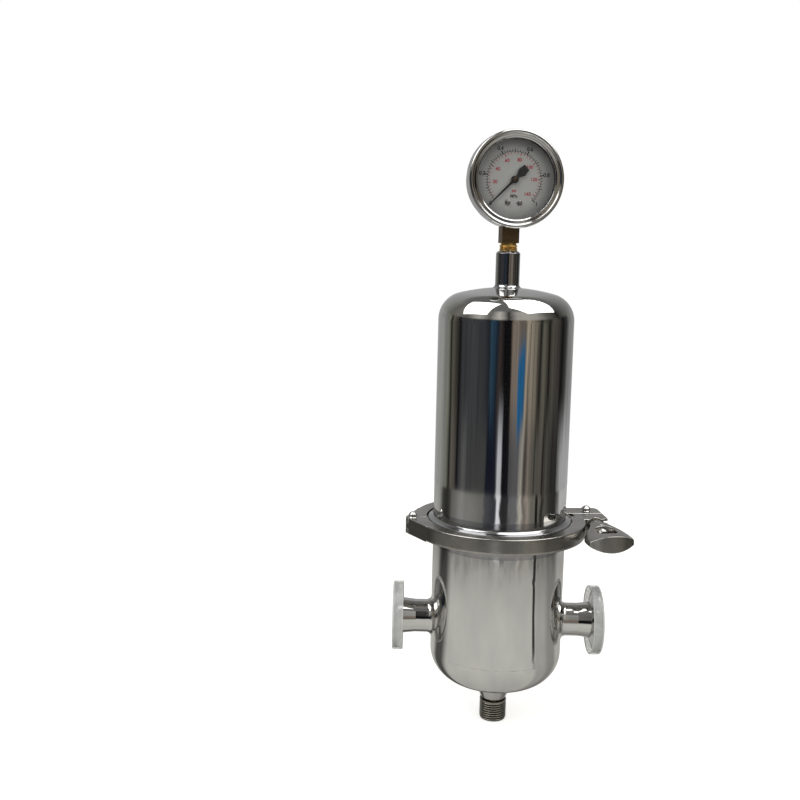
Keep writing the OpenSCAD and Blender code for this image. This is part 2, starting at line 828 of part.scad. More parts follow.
// Pointer at the start of the scale, with a broad counterweight tail
module gauge_pointer() {
    color("black") at_gauge() translate([0, 0, pointer_z]) rotate([0, 0, 90 + scale_sweep / 2]) {
        difference() {
            union() {
                linear_extrude(0.5) polygon([[0, 1.0], [pointer_l, 0.25], [pointer_l, -0.25], [0, -1.0],
                    [-4, -1.4], [-7, -3.3], [-12.5, -2.6], [-12.5, 2.6], [-7, 3.3], [-4, 1.4]]);
                cylinder(r = 2.7, h = 1.1);
            }
            translate([0, 0, -over]) cylinder(r = 0.55, h = 4);
        }
    }
}

// Flattened tube from the stem, clockwise over the top to its free tip at the right
module bourdon_tube() {
    color("goldenrod") at_gauge() rotate([0, 0, tip_at]) rotate_extrude(angle = root_at - tip_at)
        translate([tube_r - 1.2, -4]) difference() {
            square([2.4, 8]);
            translate([0.6, 0.6]) square([1.2, 6.8]);
        }
}

module tube_tip() {
    color("goldenrod") at_gauge() rotate([0, 0, tip_at]) difference() {
        translate([tube_r - 1.8, -4.6, -4]) cube([3.6, 4.5, 8]);
        translate([tube_r, -2.6, 0]) cylinder(r = 0.8 + run_gap, h = 12, center = true);
    }
}

sector_pivot = polar(gear_centres, sector_at);
tail_l = 6;
tail_at = sector_at - 8;
link_from = polar(tube_r, tip_at) + polar(2.6, tip_at - 90);
link_to = sector_pivot + polar(tail_l, tail_at);

// Link between the tube's tip and the tail of the sector gear, with the pin it turns on
module tip_link() {
    span = link_to - link_from;
    l = norm(span);
    color("goldenrod") at_gauge() translate([link_from[0], link_from[1], 4.3])
        rotate([0, 0, atan2(span[1], span[0])]) {
            difference() {
                union() {
                    cylinder(r = 1.5, h = 0.8);
                    translate([l, 0, 0]) cylinder(r = 1.3, h = 0.8);
                    translate([0, -0.9, 0]) cube([l, 1.8, 0.8]);
                }
                translate([l, 0, -over]) cylinder(r = 0.6, h = 3);
            }
            translate([0, 0, -8.2]) cylinder(r = 0.8, h = 8.4);
        }
}

plate_t = 1;
plate_z = 3.1;

// Pillars that hold the plates apart, clear of the sector gear's sweep
pillar_spots = [[-4.6, 0], [gear_centres + 1, 5.5]];

// Outline of the movement's plates: a bar with round ends over both gear centres and the pillars
module plate_outline() {
    end_r = 4;
    rotate(sector_at) {
        circle(end_r + 2.2);
        translate([0, -end_r]) square([gear_centres, 2 * end_r]);
        translate([gear_centres, 0]) circle(end_r);
        translate(pillar_spots[1]) circle(2);
        translate([pillar_spots[1][0] - 2, 0]) square([4, pillar_spots[1][1]]);
    }
}

module movement_plates() {
    color("goldenrod") at_gauge() for (z = [-plate_z - plate_t, plate_z - 2.1]) translate([0, 0, z]) difference() {
        linear_extrude(plate_t) union() {
            plate_outline();
            if (z < 0) translate([-stem_flats / 2, -13]) square([stem_flats, 9]);
        }
        translate([0, 0, -over]) cylinder(r = 0.8 + run_gap, h = 3);
        translate([sector_pivot[0], sector_pivot[1], -over]) cylinder(r = 0.8 + run_gap, h = 3);
    }
}

module movement_pillars() {
    color("goldenrod") at_gauge() rotate([0, 0, sector_at])
        for (p = pillar_spots) translate([p[0], p[1], -plate_z]) cylinder(r = 1.1, h = 2 * plate_z - 2.1);
}

// Toothed outline: trapezoid teeth on a root circle, from tooth first to tooth last
module toothed(teeth, first, last, phase) {
    pitch_r = gear_module * teeth / 2;
    root_r = pitch_r - 1.3 * gear_module;
    tip_r = pitch_r + 0.85 * gear_module;
    step = 360 / teeth;
    base_a = step * 0.27;
    tip_a = step * 0.12;
    for (i = [first : last]) rotate(phase + i * step)
        polygon([polar(root_r - 0.2, -base_a), polar(root_r, -base_a), polar(tip_r, -tip_a),
            polar(tip_r, tip_a), polar(root_r, base_a), polar(root_r - 0.2, base_a)]);
}

module sector_gear() {
    mesh_at = sector_at - 180;
    root_r = gear_module * sector_teeth / 2 - 1.3 * gear_module;
    color("goldenrod") at_gauge() translate([sector_pivot[0], sector_pivot[1], 0]) {
        difference() {
            translate([0, 0, -1]) linear_extrude(1.2) union() {
                intersection() {
                    circle(root_r);
                    polygon([[0, 0], polar(20, mesh_at - 43), polar(20, mesh_at - 20), polar(20, mesh_at + 6)]);
                }
                toothed(sector_teeth, -9, 1, mesh_at);
                circle(2.4);
                rotate(tail_at) translate([0, -1.2]) square([tail_l + 1.6, 2.4]);
            }
            translate([tail_l * cos(tail_at), tail_l * sin(tail_at), -3]) cylinder(r = 0.6, h = 6);
        }
        translate([0, 0, -plate_z - plate_t]) cylinder(r = 0.8, h = 2 * plate_z + 2 * plate_t - 2.1);
    }
}

module pinion_arbor() {
    mesh_at = sector_at;
    color("goldenrod") at_gauge() {
        translate([0, 0, -plate_z - plate_t]) cylinder(r = 0.8, h = plate_z + plate_t + 6);
        translate([0, 0, 5]) cylinder(r = 0.5, h = pointer_z - 4);
        translate([0, 0, -1.4]) linear_extrude(2) union() {
            circle(gear_module * pinion_teeth / 2 - 1.3 * gear_module);
            toothed(pinion_teeth, 0, pinion_teeth - 1, mesh_at + 180 / pinion_teeth);
        }
    }
}

// Flat spiral spring round the arbor, as a strip that widens by one pitch a turn
module hairspring() {
    turns = 4;
    strip = 0.25;
    pitch = 0.75;
    steps = 24;
    function coil_r(i) = 0.9 + pitch * i / steps;
    color("goldenrod") at_gauge() translate([0, 0, 3]) linear_extrude(0.8) polygon(concat(
        [for (i = [0 : turns * steps]) polar(coil_r(i), i * 360 / steps)],
        [for (i = [turns * steps : -1 : 0]) polar(coil_r(i) + strip, i * 360 / steps)]));
}

base_barrel();
base_dish();
drain_nipple();
base_ferrule();
inlet_nozzle();
outlet_nozzle();
outlet_elbow();
cartridge_seat();
upper_shell();
upper_dome();
upper_ferrule();
gauge_socket();
body_gasket();
clamp_back_half();
clamp_front_half();
clamp_hinge_pin();
swing_bolt();
swing_bolt_pin();
nut_washer();
wing_nut();
inlet_cap();
outlet_cap();
cartridge_spigot();
cartridge_o_rings();
cartridge_bottom_cap();
cartridge_core();
cartridge_media();
cartridge_cage();
cartridge_top_cap();
gauge_stem();
gauge_case();
gauge_bezel();
gauge_window();
window_gasket();
gauge_dial();
dial_screws();
gauge_pointer();
bourdon_tube();
tube_tip();
tip_link();
movement_plates();
movement_pillars();
sector_gear();
pinion_arbor();
hairspring();
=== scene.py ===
# %% [markdown]
# # A sanitary air filter in polished steel
# The object is a domed stainless housing on a base with two ports and a threaded drain.
# A hinged clamp ring with a swing bolt and a wing nut closes the joint, and a gauge stands on the dome.
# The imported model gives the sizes, the places and the moving bodies. This lesson gives it its surfaces:
# each polished shell is worked out again as a smooth numpy surface, because a mirror shows every facet.

# %% Load the frame
import json
import math

import bmesh
import bpy
import numpy as np
from mathutils import Matrix, Vector


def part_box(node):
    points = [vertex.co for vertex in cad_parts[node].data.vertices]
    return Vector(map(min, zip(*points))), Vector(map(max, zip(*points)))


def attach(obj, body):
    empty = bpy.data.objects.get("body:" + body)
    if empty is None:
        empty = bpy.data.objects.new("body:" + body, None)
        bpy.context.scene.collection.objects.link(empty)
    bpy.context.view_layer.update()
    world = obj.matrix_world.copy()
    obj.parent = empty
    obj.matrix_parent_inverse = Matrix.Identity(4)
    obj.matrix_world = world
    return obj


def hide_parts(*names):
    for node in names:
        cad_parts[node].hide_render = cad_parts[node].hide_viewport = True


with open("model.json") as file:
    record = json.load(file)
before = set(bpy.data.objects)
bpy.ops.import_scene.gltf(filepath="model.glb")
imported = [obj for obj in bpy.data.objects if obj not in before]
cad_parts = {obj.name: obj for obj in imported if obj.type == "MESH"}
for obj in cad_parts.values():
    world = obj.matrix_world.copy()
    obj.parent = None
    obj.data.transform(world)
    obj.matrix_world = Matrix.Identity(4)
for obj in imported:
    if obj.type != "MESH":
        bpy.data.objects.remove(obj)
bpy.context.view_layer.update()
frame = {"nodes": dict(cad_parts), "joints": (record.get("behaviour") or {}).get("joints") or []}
nodes = frame["nodes"]
MM = 0.001
WHITE = (1, 1, 1, 1)

# %% [markdown]
# ## Sizes from the frame
# Nothing is measured twice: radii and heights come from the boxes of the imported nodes, in millimetres.
# Only what a box can't tell, such as a wall or the radius of a knuckle, is written here as a value.


# %% Sizes
def low(node):
    """Lowest corner of a node's box in mm."""
    return np.array(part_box(node)[0]) / MM


def high(node):
    """Highest corner of a node's box in mm."""
    return np.array(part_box(node)[1]) / MM


SHELL_R = high("upper_shell")[0]
WALL = 2.0
SHELL_Z = low("upper_shell")[2]
DOME_TOP = high("upper_dome")[2]
DOME_KNUCKLE, DOME_CROWN = 20.5, 140.0
DISH_KNUCKLE, DISH_CROWN = 26.0, 160.0
DISH_Z = low("base_barrel")[2]
BASE_TOP = high("base_barrel")[2]
JOINT_Z = (low("body_gasket")[2] + high("body_gasket")[2]) / 2
PORT_Z = (low("inlet_cap")[2] + high("inlet_cap")[2]) / 2
PORT_R = 12.7
PORT_RI = 11.05
PORT_REACH = -low("inlet_nozzle")[0]
FERRULE_R = (high("inlet_nozzle")[2] - low("inlet_nozzle")[2]) / 2
SOCKET_Z = high("gauge_socket")[2]
DOME_HOLE_R = 4.0
DRAIN_R, DRAIN_BORE_R, DRAIN_PITCH, DRAIN_L = 10.48, 6.5, 1.814, 15.5
SHELL_STEPS = 384
CAP_MOUTH = -high("inlet_cap")[0]
CAP_FACE = -low("inlet_cap")[0]
joints = {joint["name"]: joint for joint in frame["joints"]}
POINTER = joints["pointer_turn"]
DIAL_CENTRE = Vector(POINTER["pos_m"])
FACING = -Vector(POINTER["axis"])
print("shell radius", round(SHELL_R, 2), "joint", round(JOINT_Z, 2), "ports", round(PORT_Z, 2))

# %% [markdown]
# ## The camera
# The view is the photograph's: a lens of about 45 mm on a 36 mm sensor, 0.75 m away, a little to the left
# of the port axis and looking down by eight degrees. Three angles and a place are all that it needs.

# %% Camera
FRAME_PX = 800
FOCAL_PX = 992.0
SENSOR_MM = 36
CAMERA_PLACE = Vector((-0.06553, -0.74902, 0.35789))
CAMERA_YAW = math.radians(-0.99)
CAMERA_PITCH = math.radians(8.016)
CAMERA_ROLL = math.radians(1.139)


def camera_axes():
    """Right, up and forward of the camera: a yaw about Z, a pitch down, then a roll about the view."""
    forward = Vector(
        (
            math.sin(CAMERA_YAW) * math.cos(CAMERA_PITCH),
            math.cos(CAMERA_YAW) * math.cos(CAMERA_PITCH),
            -math.sin(CAMERA_PITCH),
        )
    )
    level = Vector((math.cos(CAMERA_YAW), -math.sin(CAMERA_YAW), 0))
    plumb = level.cross(forward)
    right = math.cos(CAMERA_ROLL) * level + math.sin(CAMERA_ROLL) * plumb
    up = -math.sin(CAMERA_ROLL) * level + math.cos(CAMERA_ROLL) * plumb
    return right, up, forward


def add_object(name, data):
    """An object that holds the data, linked to the scene."""
    made = bpy.data.objects.new(name, data)
    bpy.context.scene.collection.objects.link(made)
    return made


right, up, forward = camera_axes()
lens = bpy.data.cameras.new("camera")
lens.sensor_width = SENSOR_MM
lens.lens = FOCAL_PX / FRAME_PX * SENSOR_MM
camera = add_object("camera", lens)
turn = Matrix((right, up, -forward)).transposed().to_4x4()
camera.matrix_world = Matrix.Translation(CAMERA_PLACE) @ turn
bpy.context.scene.camera = camera
bpy.context.scene.view_settings.view_transform = "Standard"
print("lens", round(lens.lens, 2), "mm")

# %% [markdown]
# ## Shader maths as plain arithmetic
# A pattern is easier to read as an expression than as a row of nodes. The class below wraps one output
# socket, so that `1 - mask` adds the Math node it stands for. Any other node comes from `node`.


# %% The socket class
class Field:
    """An output socket of a node tree, with arithmetic that adds Math nodes."""

    def __init__(self, tree, socket):
        self.tree = tree
        self.socket = socket

    def node(self, kind, settings=None, inputs=None, out=0):
        """Any other node in the same tree."""
        return add_node(self.tree, kind, settings, inputs, out)

    def math(self, operation, *values):
        """A Math node of the values."""
        inputs = dict(enumerate(values))
        return self.node("ShaderNodeMath", {"operation": operation}, inputs)

    def __add__(self, other):
        return self.math("ADD", self, other)

    __radd__ = __add__

    def __sub__(self, other):
        return self.math("SUBTRACT", self, other)

    def __rsub__(self, other):
        return self.math("SUBTRACT", other, self)

    def __mul__(self, other):
        return self.math("MULTIPLY", self, other)

    __rmul__ = __mul__

    def __truediv__(self, other):
        return self.math("DIVIDE", self, other)

    def step(self, start, end):
        """0 before start, 1 after end, and smooth between them."""
        inputs = {0: self, 1: start, 2: end, 3: 0.0, 4: 1.0}
        return self.node("ShaderNodeMapRange", {"interpolation_type": "SMOOTHSTEP"}, inputs)

    def ramp(self, stops):
        """Colour for each value of the field, from (place, colour) stops."""
        return self.node("ShaderNodeValToRGB", {"stops": stops}, {0: self})


def add_node(tree, kind, settings=None, inputs=None, out=0):
    """A node with its settings first, then the values or links of its sockets."""
    made = tree.nodes.new(kind)
    for key, value in (settings or {}).items():
        if key == "stops":
            elements = made.color_ramp.elements
            for place, colour in value[2:]:
                elements.new(place)
            for element, (place, colour) in zip(elements, value):
                element.position = place
                element.color = (*colour, 1)
        else:
            setattr(made, key, value)
    for key, value in (inputs or {}).items():
        socket = made.inputs[key]
        if isinstance(value, Field):
            tree.links.new(value.socket, socket)
        else:
            socket.default_value = value
    return Field(tree, made.outputs[out]) if made.outputs else None


def mix_colour(factor, first, second, blend="MIX"):
    """Colour between first and second."""
    tree = next(v for v in (factor, first, second) if isinstance(v, Field)).tree
    first, second = (v if isinstance(v, Field) else (*v, 1) for v in (first, second))
    settings = {"data_type": "RGBA", "blend_type": blend}
    return add_node(tree, "ShaderNodeMix", settings, {0: factor, 6: first, 7: second}, 2)

# %% [markdown]
# ## Noise and scratches
# Object coordinates are in metres, so every pattern has its scale in real units. Stretching the
# coordinates along one axis turns round noise into the fine lines that a polishing wheel leaves.


# %% Pattern helpers
def object_point(tree):
    """Position on the piece, in metres."""
    return add_node(tree, "ShaderNodeTexCoord", out="Object")


def coordinates(point):
    """The x, y and z of a point."""
    parts = point.node("ShaderNodeSeparateXYZ", None, {0: point})
    return [Field(point.tree, socket) for socket in parts.socket.node.outputs]


def vector(first, *rest):
    """A vector from fields. An axis that isn't given is 0."""
    return first.node("ShaderNodeCombineXYZ", None, dict(enumerate((first, *rest))))


def dot(first, second):
    """Dot product of two vectors."""
    inputs = {0: first, 1: second}
    return first.node("ShaderNodeVectorMath", {"operation": "DOT_PRODUCT"}, inputs, 1)


def shaded(colour, share):
    """The colour multiplied by a field."""
    return mix_colour(1.0, colour, vector(share, share, share), "MULTIPLY")


def bearing_of(x, y):
    """Degrees from the front, -Y, towards the right port, +X."""
    return x.math("ARCTAN2", x, 0 - y) * (180 / math.pi)


def stretched(point, scale):
    """The point with each axis scaled by itself."""
    return point.node("ShaderNodeVectorMath", {"operation": "MULTIPLY"}, {0: point, 1: scale})


def noise(point, per_metre, detail=2.0, rough=0.5):
    """Noise from 0 to 1 with so many blobs in a metre."""
    inputs = {"Vector": point, "Scale": per_metre, "Detail": detail, "Roughness": rough}
    return point.node("ShaderNodeTexNoise", None, inputs)


def around_axis(point):
    """The point in polar form about Z: angle over a turn, distance from the axis, height."""
    x, y, z = coordinates(point)
    angle = x.math("ARCTAN2", y, x) / (2 * math.pi)
    radius = x.math("SQRT", x * x + y * y)
    return angle, radius, z


def bump(height, depth, normal=None):
    """Normal of a surface that rises by depth metres where height is 1."""
    inputs = {"Strength": 1.0, "Distance": depth, "Height": height}
    if normal is not None:
        inputs["Normal"] = normal
    return height.node("ShaderNodeBump", None, inputs)


def light_path(tree, ray):
    """1 for rays of that kind, and 0 for all others."""
    return add_node(tree, "ShaderNodeLightPath", out=ray)


def empty_tree(owner):
    """The node tree of a material or of the world, with nothing in it."""
    owner.use_nodes = True
    owner.node_tree.nodes.clear()
    return owner.node_tree


def finish(name, recipe, *values):
    """A Principled material; recipe gets the tree and the values, and returns what its sockets get."""
    # The frame already holds a material for each of the record's slots, and those are filled, not doubled.
    material = bpy.data.materials.get(name) or bpy.data.materials.new(name)
    tree = empty_tree(material)
    shader = add_node(tree, "ShaderNodeBsdfPrincipled", None, recipe(tree, *values))
    add_node(tree, "ShaderNodeOutputMaterial", None, {"Surface": shader})
    print("finish", material.name)
    return material

# %% [markdown]
# ## Steel finishes
# Polished stainless is a nearly perfect mirror whose surface is never quite flat: long, shallow waves bend
# the reflected stripes, and a trace of buffing lines softens them. The waves are tiny heights in a Bump
# node, and the buffing lines only vary the roughness.


# %% Mirror steel
def mirror_recipe(tree, tint=(0.70, 0.695, 0.68), rough=0.035, wave=0.00016):
    """Polished steel: slow waves in the normal, smears and buffing lines in the roughness."""
    point = object_point(tree)
    waves = noise(stretched(point, (1.0, 1.0, 0.32)), 26, 1.5)
    grain = noise(stretched(point, (1.0, 1.0, 0.06)), 900, 2.0)
    smear = noise(point, 55, 3.0)
    return {
        "Base Color": mix_colour(smear, tint, tuple(0.93 * c for c in tint)),
        "Metallic": 1.0,
        "Roughness": rough + 0.02 * smear + 0.012 * grain,
        "Normal": bump(waves, wave),
    }


mirror_steel = finish("mirror_steel", mirror_recipe)
dark_steel = finish("dark_steel", mirror_recipe, (0.46, 0.46, 0.47), 0.10, 0.00008)
gauge_chrome = finish("gauge_chrome", mirror_recipe, (0.64, 0.64, 0.63), 0.03, 0.00003)

# %% [markdown]
# Turned parts keep the fine rings of the lathe tool. Noise that is read along radius and height, and
# hardly at all round the axis, draws them. The drain's thread is the same steel with painted shade and dirt
# at its root, which the distance from the axis finds.

# %% Turned steel
def turned_recipe(tree, tint=(0.66, 0.65, 0.63), rough=0.16):
    """Steel from a lathe: fine rings about the Z axis."""
    point = object_point(tree)
    angle, radius, height = around_axis(point)
    rings = noise(vector(angle * 0.02, radius, height), 1500, 2.0)
    smear = noise(point, 90, 3.0)
    return {
        "Base Color": mix_colour(smear, tint, tuple(0.86 * c for c in tint)),
        "Metallic": 1.0,
        "Roughness": rough + 0.10 * rings,
        "Normal": bump(rings, 0.00001),
    }


turned_steel = finish("turned_steel", turned_recipe)


def drain_thread_recipe(tree):
    """Turned steel whose thread has dark grooves: painted shade and dirt at the root."""
    sockets = turned_recipe(tree, (0.60, 0.58, 0.52), 0.20)
    radius = around_axis(object_point(tree))[1]
    crest = radius.step((DRAIN_R - 0.95) * MM, (DRAIN_R - 0.15) * MM)
    # The dark colour at the thread's root is painted shade and dirt.
    sockets["Base Color"] = mix_colour(crest, (0.035, 0.032, 0.026), sockets["Base Color"])
    return sockets


drain_steel = finish("drain_steel", drain_thread_recipe)

# %% [markdown]
# The clamp and its nut are cast and tumbled: a satin grey with fine pits, soft blotches, and edges with a
# painted highlight. Pointiness isn't reliable on loose triangles, so the Bevel node finds the
# edges: where its rounded normal leaves the true one, the metal is painted brighter and is smoother.


# %% Satin cast steel
def satin_recipe(tree, tint=(0.40, 0.388, 0.36), rough=0.20):
    """Tumbled castings: pits, blotches and a painted highlight on the edges."""
    point = object_point(tree)
    pits = noise(point, 2600, 3.0, 0.6)
    blotch = noise(point, 70, 4.0, 0.6)
    soft_normal = add_node(tree, "ShaderNodeBevel", {"samples": 6}, {"Radius": 0.0007})
    true_normal = add_node(tree, "ShaderNodeNewGeometry", out="Normal")
    edge = (1 - dot(soft_normal, true_normal)).step(0.0008, 0.04)
    body = mix_colour(blotch.step(0.3, 0.8), tint, tuple(0.70 * c for c in tint))
    return {
        # The brighter colour on the edges is a painted highlight; their lower roughness is not.
        "Base Color": mix_colour(edge * 0.85, body, (0.80, 0.79, 0.76)),
        "Metallic": 1.0,
        "Roughness": rough + 0.10 * blotch - 0.15 * edge,
        "Normal": bump(pits, 0.00002, soft_normal),
    }


finish("satin_steel", satin_recipe)

# %% [markdown]
# ## Brass, plastics, rubber and glass
# The stem's square block has gone brown with age while its threaded neck is still gold. The dust caps are
# soft white polythene: light soaks a little way in, and the ferrule behind shows faintly through. So they
# get some subsurface scattering, and their walls are partly clear, less so at the lip and the face.

# %% Brass
STEM_NECK_Z = (SOCKET_Z + 5.9) * MM


def brass_recipe(tree):
    """Bright gold below the neck height, brown patina above it."""
    point = object_point(tree)
    height = coordinates(point)[2]
    aged = height.step(STEM_NECK_Z - 0.0006, STEM_NECK_Z + 0.0004)
    blotch = noise(point, 240, 4.0, 0.65)
    patina = mix_colour(blotch, (0.10, 0.065, 0.035), (0.21, 0.145, 0.08))
    gold = mix_colour(blotch, (0.83, 0.56, 0.20), (0.62, 0.38, 0.12))
    return {
        "Base Color": mix_colour(aged, gold, patina),
        "Metallic": 1.0,
        "Roughness": 0.22 + 0.16 * blotch + 0.12 * aged,
        "Normal": bump(noise(point, 1400, 3.0), 0.00003),
    }


brass = finish("brass", brass_recipe)

# %% [markdown]
# Most of these are one Principled shader with one noise for the colour and one for the grain. In the caps,
# the distance from the middle plane tells lip, skirt and face apart. The dial's paint has no grain, and a
# painted shade darkens it towards its edge.

# %% Plastics and rubber
def cap_recipe(tree):
    """Cloudy, partly clear polythene with scuffs."""
    point = object_point(tree)
    cloud = noise(point, 110, 3.0)
    scuff = noise(stretched(point, (0.25, 1.0, 1.0)), 900, 3.0, 0.7)
    x = coordinates(point)[0]
    reach = x.math("ABSOLUTE", x)
    lip = 1 - reach.step(CAP_MOUTH * MM, (CAP_MOUTH + 1.2) * MM)
    face = reach.step((CAP_FACE - 1.6) * MM, (CAP_FACE - 0.6) * MM)
    return {
        "Base Color": mix_colour(cloud, (0.67, 0.68, 0.662), (0.51, 0.515, 0.503)),
        "Roughness": 0.34 + 0.14 * scuff,
        "Alpha": lip.math("MINIMUM", 0.44 + 0.40 * lip + 0.34 * face, 0.94),
        "Subsurface Weight": 0.35,
        "Subsurface Radius": (0.004, 0.004, 0.004),
        "Subsurface Scale": 1.0,
        "Normal": bump(scuff, 0.00004),
    }


def plastic_recipe(tree, tint=(0.88, 0.88, 0.86), rough=0.42, grain=0.00003):
    """Plain plastic, rubber or paint with a fine grain."""
    point = object_point(tree)
    speck = noise(point, 1200, 3.0)
    return {
        "Base Color": mix_colour(noise(point, 60), tint, tuple(0.95 * c for c in tint)),
        "Roughness": rough + 0.12 * speck,
        "Normal": bump(speck, grain),
    }


def dial_recipe(tree):
    """Light grey paint with a painted shade towards its edge, where the deep bezel shades it."""
    point = object_point(tree)
    offset = point.node(
        "ShaderNodeVectorMath", {"operation": "SUBTRACT"}, {0: point, 1: tuple(DIAL_CENTRE)}
    )
    along = dot(offset, tuple(FACING))
    length = offset.node("ShaderNodeVectorMath", {"operation": "LENGTH"}, {0: offset}, 1)
    radius = length.math("SQRT", length * length - along * along)
    shade = radius.step(0.017, 0.0295)
    return {
        # The darker colour towards the edge is painted shade from the bezel.
        "Base Color": mix_colour(shade, (0.31, 0.31, 0.292), (0.19, 0.19, 0.18)),
        "Roughness": 0.5,
    }


def fleece_recipe(tree):
    """White filter fleece with upright fibres."""
    point = object_point(tree)
    fibre = noise(stretched(point, (1.0, 1.0, 0.3)), 4200, 4.0, 0.7)
    return {
        "Base Color": mix_colour(fibre, (0.84, 0.84, 0.82), (0.94, 0.94, 0.93)),
        "Roughness": 0.85,
        "Sheen Weight": 0.2,
        "Normal": bump(fibre, 0.00008),
    }


cap_plastic = finish("cap_plastic", cap_recipe)
finish("filter_plastic", plastic_recipe)
finish("filter_media", fleece_recipe)
finish("white_rubber", plastic_recipe, (0.82, 0.82, 0.80), 0.55, 0.00002)
finish("black_rubber", plastic_recipe, (0.022, 0.022, 0.022), 0.5, 0.00003)
pointer_paint = finish("pointer_paint", plastic_recipe, (0.014, 0.014, 0.014), 0.45, 0.00001)
finish("dial_paint", dial_recipe)
black_print = finish("black_print", plastic_recipe, (0.02, 0.02, 0.022), 0.5, 0.00001)
red_print = finish("red_print", plastic_recipe, (0.30, 0.015, 0.03), 0.5, 0.00001)

# %% [markdown]
# The window is a flat pane. A low Alpha lets the dial show through without refraction, so a faint
# reflection and a little dust are all that is seen of it.

# %% Window glass
def glass_recipe(tree):
    """Nearly clear glass with a little dust."""
    point = object_point(tree)
    dust = noise(point, 400, 4.0, 0.6).step(0.45, 0.9)
    return {
        "Base Color": (0.02, 0.022, 0.022, 1),
        "Roughness": 0.02 + 0.05 * dust,
        "IOR": 1.5,
        "Alpha": 0.04 + 0.04 * dust,
    }


window_glass = finish("window_glass", glass_recipe)

# %% [markdown]
# ## Surfaces of revolution
# Most of this object came off a lathe or a spinning machine, so most of it is a closed profile that is
# turned about an axis. A profile is a list of (radius, height) points in millimetres, and its corners are
# rounded first: a real edge always has a small radius, and that radius is what catches the light.


# %% Profiles
def arc(centre, radius, start, end, steps):
    """Points on a circle's arc: centre + radius * (cos a, sin a), with a from start to end in degrees."""
    a = np.radians(np.linspace(start, end, steps))
    return np.stack([centre[0] + radius * np.cos(a), centre[1] + radius * np.sin(a)], 1)


def full_turn(steps):
    """Angles of equal steps once round, in radians."""
    return np.linspace(0, 2 * math.pi, steps, endpoint=False)


def rounded(corners, radius, steps=6):
    """Closed profile with each corner replaced by an arc.

    The arc of radius r touches both sides at r * tan(turn / 2) from the corner. A radius may be given for
    each corner, and 0 keeps the corner sharp.
    """
    corners = np.asarray(corners, float)
    radii = np.broadcast_to(np.asarray(radius, float), len(corners))
    out = []
    for i, r in enumerate(radii):
        before, here, after = corners[i - 1], corners[i], corners[(i + 1) % len(corners)]
        a = (before - here) / np.linalg.norm(before - here)
        b = (after - here) / np.linalg.norm(after - here)
        half = math.acos(np.clip(a @ b, -1, 1)) / 2
        if r <= 0 or half > math.radians(89):
            out.append(here[None])
            continue
        middle = (a + b) / np.linalg.norm(a + b)
        centre = here + middle * r / math.sin(half)
        start = here + a * r / math.tan(half) - centre
        end = here + b * r / math.tan(half) - centre
        t = np.linspace(0, 1, steps)[:, None]
        chord = start * (1 - t) + end * t
        out.append(centre + r * chord / np.linalg.norm(chord, axis=1)[:, None])
    return np.concatenate(out)

# %% [markdown]
# A grid of points becomes a mesh by counting: each face joins four neighbours. A lathe turns a profile
# into such a grid. Every piece but the letters then goes through one function, which merges points that
# coincide, turns the normals out, marks the sharp edges and lets the piece ride on its body.

# %% Meshes from grids
def place(origin, z_axis=(0, 0, 1), x_axis=(1, 0, 0)):
    """4 by 4 matrix of a local frame, in mm."""
    z = Vector(z_axis).normalized()
    x = (Vector(x_axis) - Vector(x_axis).dot(z) * z).normalized()
    spin = Matrix((x, z.cross(x), z)).transposed().to_4x4()
    return np.array(Matrix.Translation(Vector(origin)) @ spin)


UPRIGHT = place((0, 0, 0))


def put(points, frame_matrix):
    """Local mm points carried to the object's frame in metres."""
    return (points @ frame_matrix[:3, :3].T + frame_matrix[:3, 3]) * MM


def grid_faces(rows, columns, wrap_rows=False):
    """Quads of a grid of vertices, numbered row by row. Each row closes on itself, and so may the rows."""
    i = np.arange(rows if wrap_rows else rows - 1)[:, None]
    j = np.arange(columns)[None, :]
    i2, j2 = (i + 1) % rows, (j + 1) % columns
    corners = (i * columns + j, i * columns + j2, i2 * columns + j2, i2 * columns + j)
    return np.stack(np.broadcast_arrays(*corners), -1).reshape(-1, 4)


def make_piece(name, points, faces, material, body, slot=None, replaces=(), sharp=35):
    """A mesh piece that rides on a body. Points are in metres; sharp is the angle that stays an edge."""
    mesh = bpy.data.meshes.new(name)
    mesh.from_pydata(np.asarray(points).reshape(-1, 3), [], np.asarray(faces).tolist())
    build = bmesh.new()
    build.from_mesh(mesh)
    bmesh.ops.remove_doubles(build, verts=build.verts, dist=1e-7)
    bmesh.ops.dissolve_degenerate(build, edges=build.edges, dist=1e-8)
    bmesh.ops.recalc_face_normals(build, faces=build.faces)
    build.to_mesh(mesh)
    build.free()
    mesh.shade_smooth()
    mesh.set_sharp_from_angle(angle=math.radians(sharp))
    mesh.materials.append(material)
    piece = add_object(name, mesh)
    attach(piece, body)
    if replaces:
        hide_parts(*replaces)
    print(name, "has", len(mesh.polygons), "faces and rides on", body)
    return piece


def grid_piece(name, grid, frame_matrix, material, body, wrap_rows=True, **options):
    """A piece from a grid of local mm points, as (rows, columns, 3)."""
    faces = grid_faces(grid.shape[0], grid.shape[1], wrap_rows)
    return make_piece(name, put(grid.reshape(-1, 3), frame_matrix), faces, material, body, **options)


def lathe(name, profile, frame_matrix, material, body, steps=192, **options):
    """A closed profile turned once about the local Z: (r cos a, r sin a, z)."""
    a = full_turn(steps)[:, None]
    r, z = np.asarray(profile, float).T[:, None, :]
    grid = np.stack(np.broadcast_arrays(r * np.cos(a), r * np.sin(a), z), -1)
    return grid_piece(name, grid, frame_matrix, material, body, **options)

# %% [markdown]
# ## The upper shell
# A spun dome is a crown of large radius that runs into a tight knuckle, and the knuckle runs into the
# straight wall. The two arcs meet where their centres and the joint lie on one line, so there is no kink.


# %% Dished ends
KNUCKLE_STEPS, CROWN_STEPS = 48, 60


